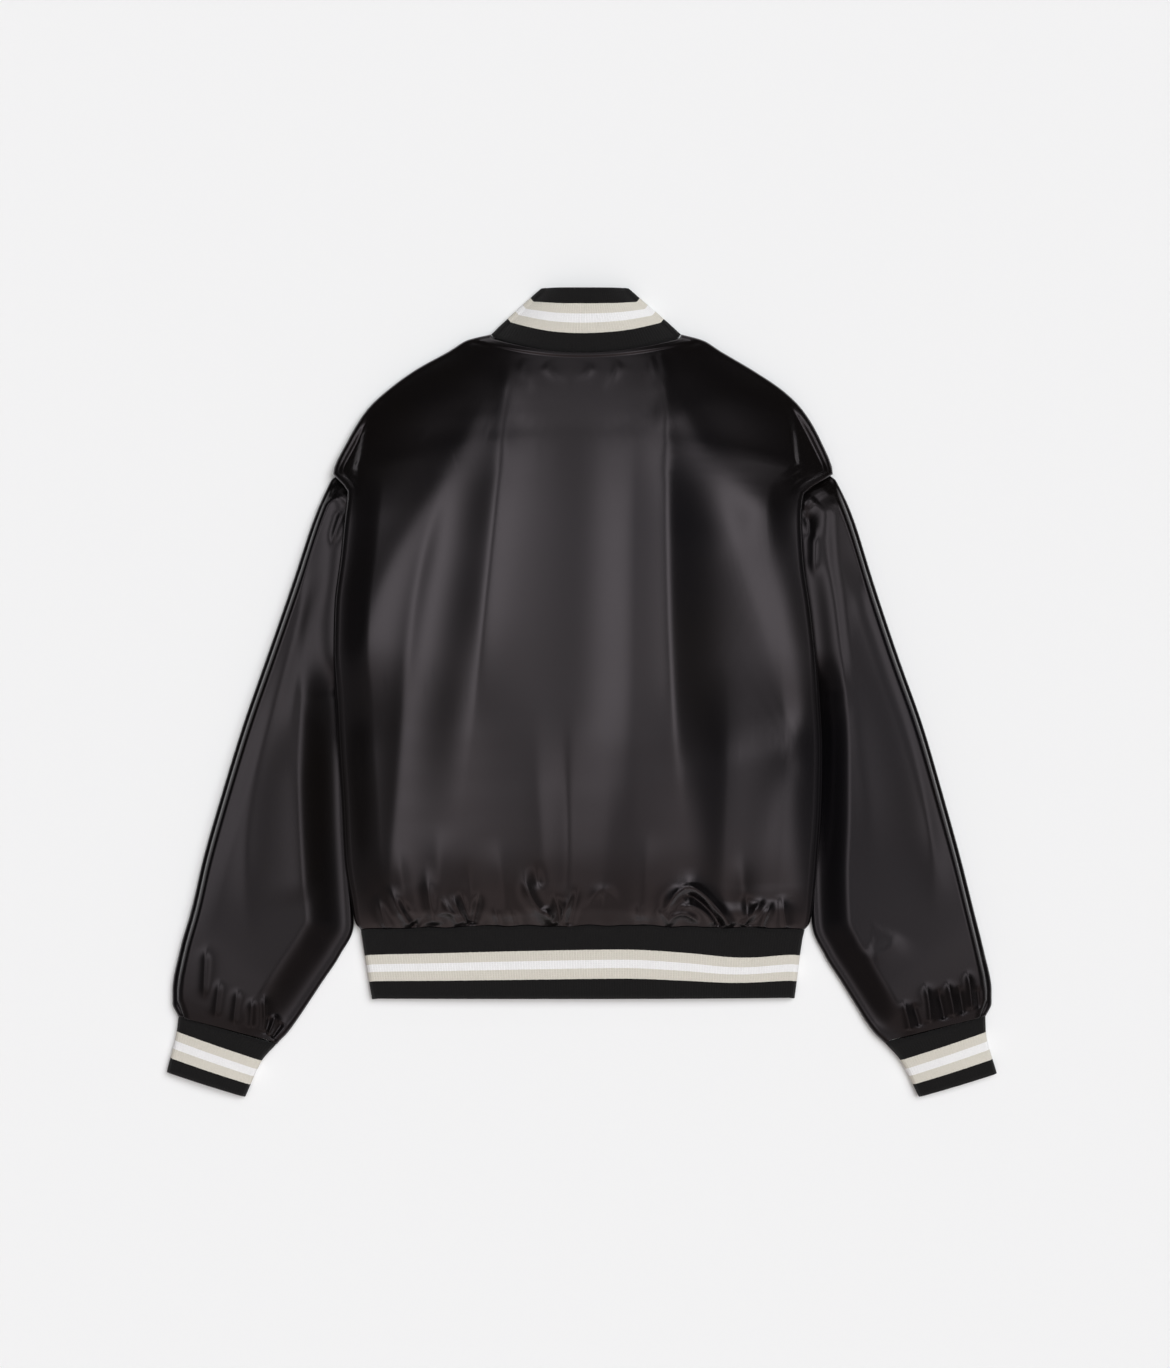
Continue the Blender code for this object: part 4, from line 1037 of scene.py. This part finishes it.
# %% Cuts
CUTS = (
    ("back_shell", 0.565, 0.670, 0.325, ("front_left_shell", "front_right_shell")),
    ("front_left_shell", 0.270, 0.640, 0.142, ("table_top",)),
    ("front_right_shell", 0.270, 0.640, 0.140, ("table_top",)),
    ("sleeve_left_shell", 0.535, 0.600, 0.145, ("table_top",)),
    ("sleeve_right_shell", 0.535, 0.600, 0.148, ("table_top",)),
    ("hem_band_rib", 0.995, 0.077, 0.0765, ("table_top",)),
    ("collar_rib", 0.525, 0.078, 0.032, ("table_top",)),
    ("cuff_left_rib", 0.231, 0.067, 0.0140, ("table_top",)),
    ("cuff_right_rib", 0.231, 0.067, 0.0140, ("table_top",)),
)
for name, width, length, area, below in CUTS:
    print(f"{name}: cut {width * 1000:.0f} x {length * 1000:.0f} mm, {area:.3f} square metres")

# %% [markdown]
# ## Table, light and camera
#
# The photograph is a plain studio picture from straight above. A pale table fills the view. Soft light
# comes from all round, with a large soft box on the upper right that gives the faint shadow on the
# lower left. A long lens from three metres keeps the outline undistorted.

# %% Table
TABLE_HALF = 4.0            # metres from its middle to each edge


def pale_floor():
    made, _, _, shader = new_material("pale_table")
    shader.inputs["Base Color"].default_value = (0.875, 0.875, 0.875, 1.0)
    shader.inputs["Roughness"].default_value = 0.9
    shader.inputs["Specular IOR Level"].default_value = 0.1
    return made


shape = bmesh.new()
bmesh.ops.create_grid(shape, x_segments=1, y_segments=1, size=TABLE_HALF)
floor = placed(shape, "table_top")
floor.data.materials.append(pale_floor())


# %% Light
LIGHT_TOP = 0.50            # a long soft box straight above, from the hem to beyond the head
LIGHT_SIDES = 2.8           # two more soft boxes, left and right of it, cut off above the shoulders
LIGHT_FOOT = 0.16           # warm light that comes back from beyond the hem
LIGHT_LOW = 0.15            # the walls of the studio
LIGHT_DARK = 0.04           # the unlit ceiling between them

world = bpy.data.worlds.new("studio")
world.use_nodes = True
nodes, links = world.node_tree.nodes, world.node_tree.links
way = nodes.new("ShaderNodeTexCoord")
axes = nodes.new("ShaderNodeSeparateXYZ")
links.new(way.outputs["Generated"], axes.inputs["Vector"])


def world_range(source, low, high, to_low, to_high):
    return ranged(nodes, links, source, low, high, to_low, to_high)


def world_sum(operation, *sources):
    return calculated(nodes, links, operation, *sources)


sideways = world_sum("ABSOLUTE", axes.outputs["X"])
footward = world_range(axes.outputs["Y"], -0.70, -0.05, 1.0, 0.0)
side_box = world_sum("MULTIPLY", world_range(sideways, 0.07, 0.17, 0.0, LIGHT_SIDES),
                     world_range(sideways, 0.18, 0.54, 1.0, 0.08))
slant = world_sum("ADD", axes.outputs["Y"], world_sum("MULTIPLY", sideways, 1.0))
side_box = world_sum("MULTIPLY", side_box, world_range(axes.outputs["Y"], -0.50, 0.10, 0.20, 1.0))
side_box = world_sum("MULTIPLY", side_box, world_range(slant, 0.42, 0.84, 1.0, 0.0))
top_box = world_sum("MULTIPLY", world_range(sideways, 0.08, 0.20, LIGHT_TOP, 0.0),
                    world_range(axes.outputs["Y"], 0.40, 0.90, 1.0, 0.5))
top_box = world_sum("MULTIPLY", top_box, world_sum("SUBTRACT", 1.0, world_sum("MULTIPLY", footward, 0.6)))
walls = world_sum("MULTIPLY", world_range(axes.outputs["Z"], 0.25, 0.45, LIGHT_LOW, 0.0),
                  world_range(axes.outputs["Y"], -0.1, 0.3, 1.0, 0.1))
foot_glow = world_sum("MULTIPLY", footward, LIGHT_FOOT)
warm = world_sum("MULTIPLY", footward, 0.20)
plain = world_sum("ADD", world_sum("ADD", side_box, top_box), world_sum("ADD", walls, LIGHT_DARK))
plain = world_sum("ADD", plain, foot_glow)
colour = nodes.new("ShaderNodeCombineXYZ")
for channel, share in (("X", 0.0), ("Y", 0.7), ("Z", 1.0)):
    kept = world_sum("SUBTRACT", 1.0, world_sum("MULTIPLY", warm, share))
    links.new(world_sum("MULTIPLY", plain, kept), colour.inputs[channel])
links.new(colour.outputs["Vector"], nodes["Background"].inputs["Color"])
nodes["Background"].inputs["Strength"].default_value = 1.0
bpy.context.scene.world = world

sun = bpy.data.lights.new("upper_right_box", "SUN")
sun.energy = 1.97
sun.color = (0.97, 0.995, 1.02)
sun.angle = math.radians(40)
lamp = bpy.data.objects.new("upper_right_box", sun)
lamp.rotation_euler = mathutils.Vector((0.42, 0.26, 0.87)).to_track_quat("Z", "Y").to_euler()
lamp.visible_glossy = False
bpy.context.scene.collection.objects.link(lamp)
bpy.context.scene.view_settings.view_transform = "Standard"

# %% Camera
PHOTO_HEIGHT = 1368         # pixels
MM_A_PIXEL = 1.04
VIEW_CENTRE = (3.1, 8.8)    # millimetres, the middle of the photograph
CAMERA_HEIGHT = 3.0
MEAN_HEIGHT = 0.022         # the jacket's middle height, where the scale is true

camera_data = bpy.data.cameras.new("camera")
camera_data.sensor_fit = "VERTICAL"
camera_data.sensor_height = 24.0
camera_data.lens = 24.0 * CAMERA_HEIGHT / (PHOTO_HEIGHT * MM_A_PIXEL * MM)
camera = bpy.data.objects.new("camera", camera_data)
camera.location = (VIEW_CENTRE[0] * MM, VIEW_CENTRE[1] * MM, CAMERA_HEIGHT + MEAN_HEIGHT)
bpy.context.scene.collection.objects.link(camera)
bpy.context.scene.camera = camera
print("lens", round(camera_data.lens, 1), "mm")
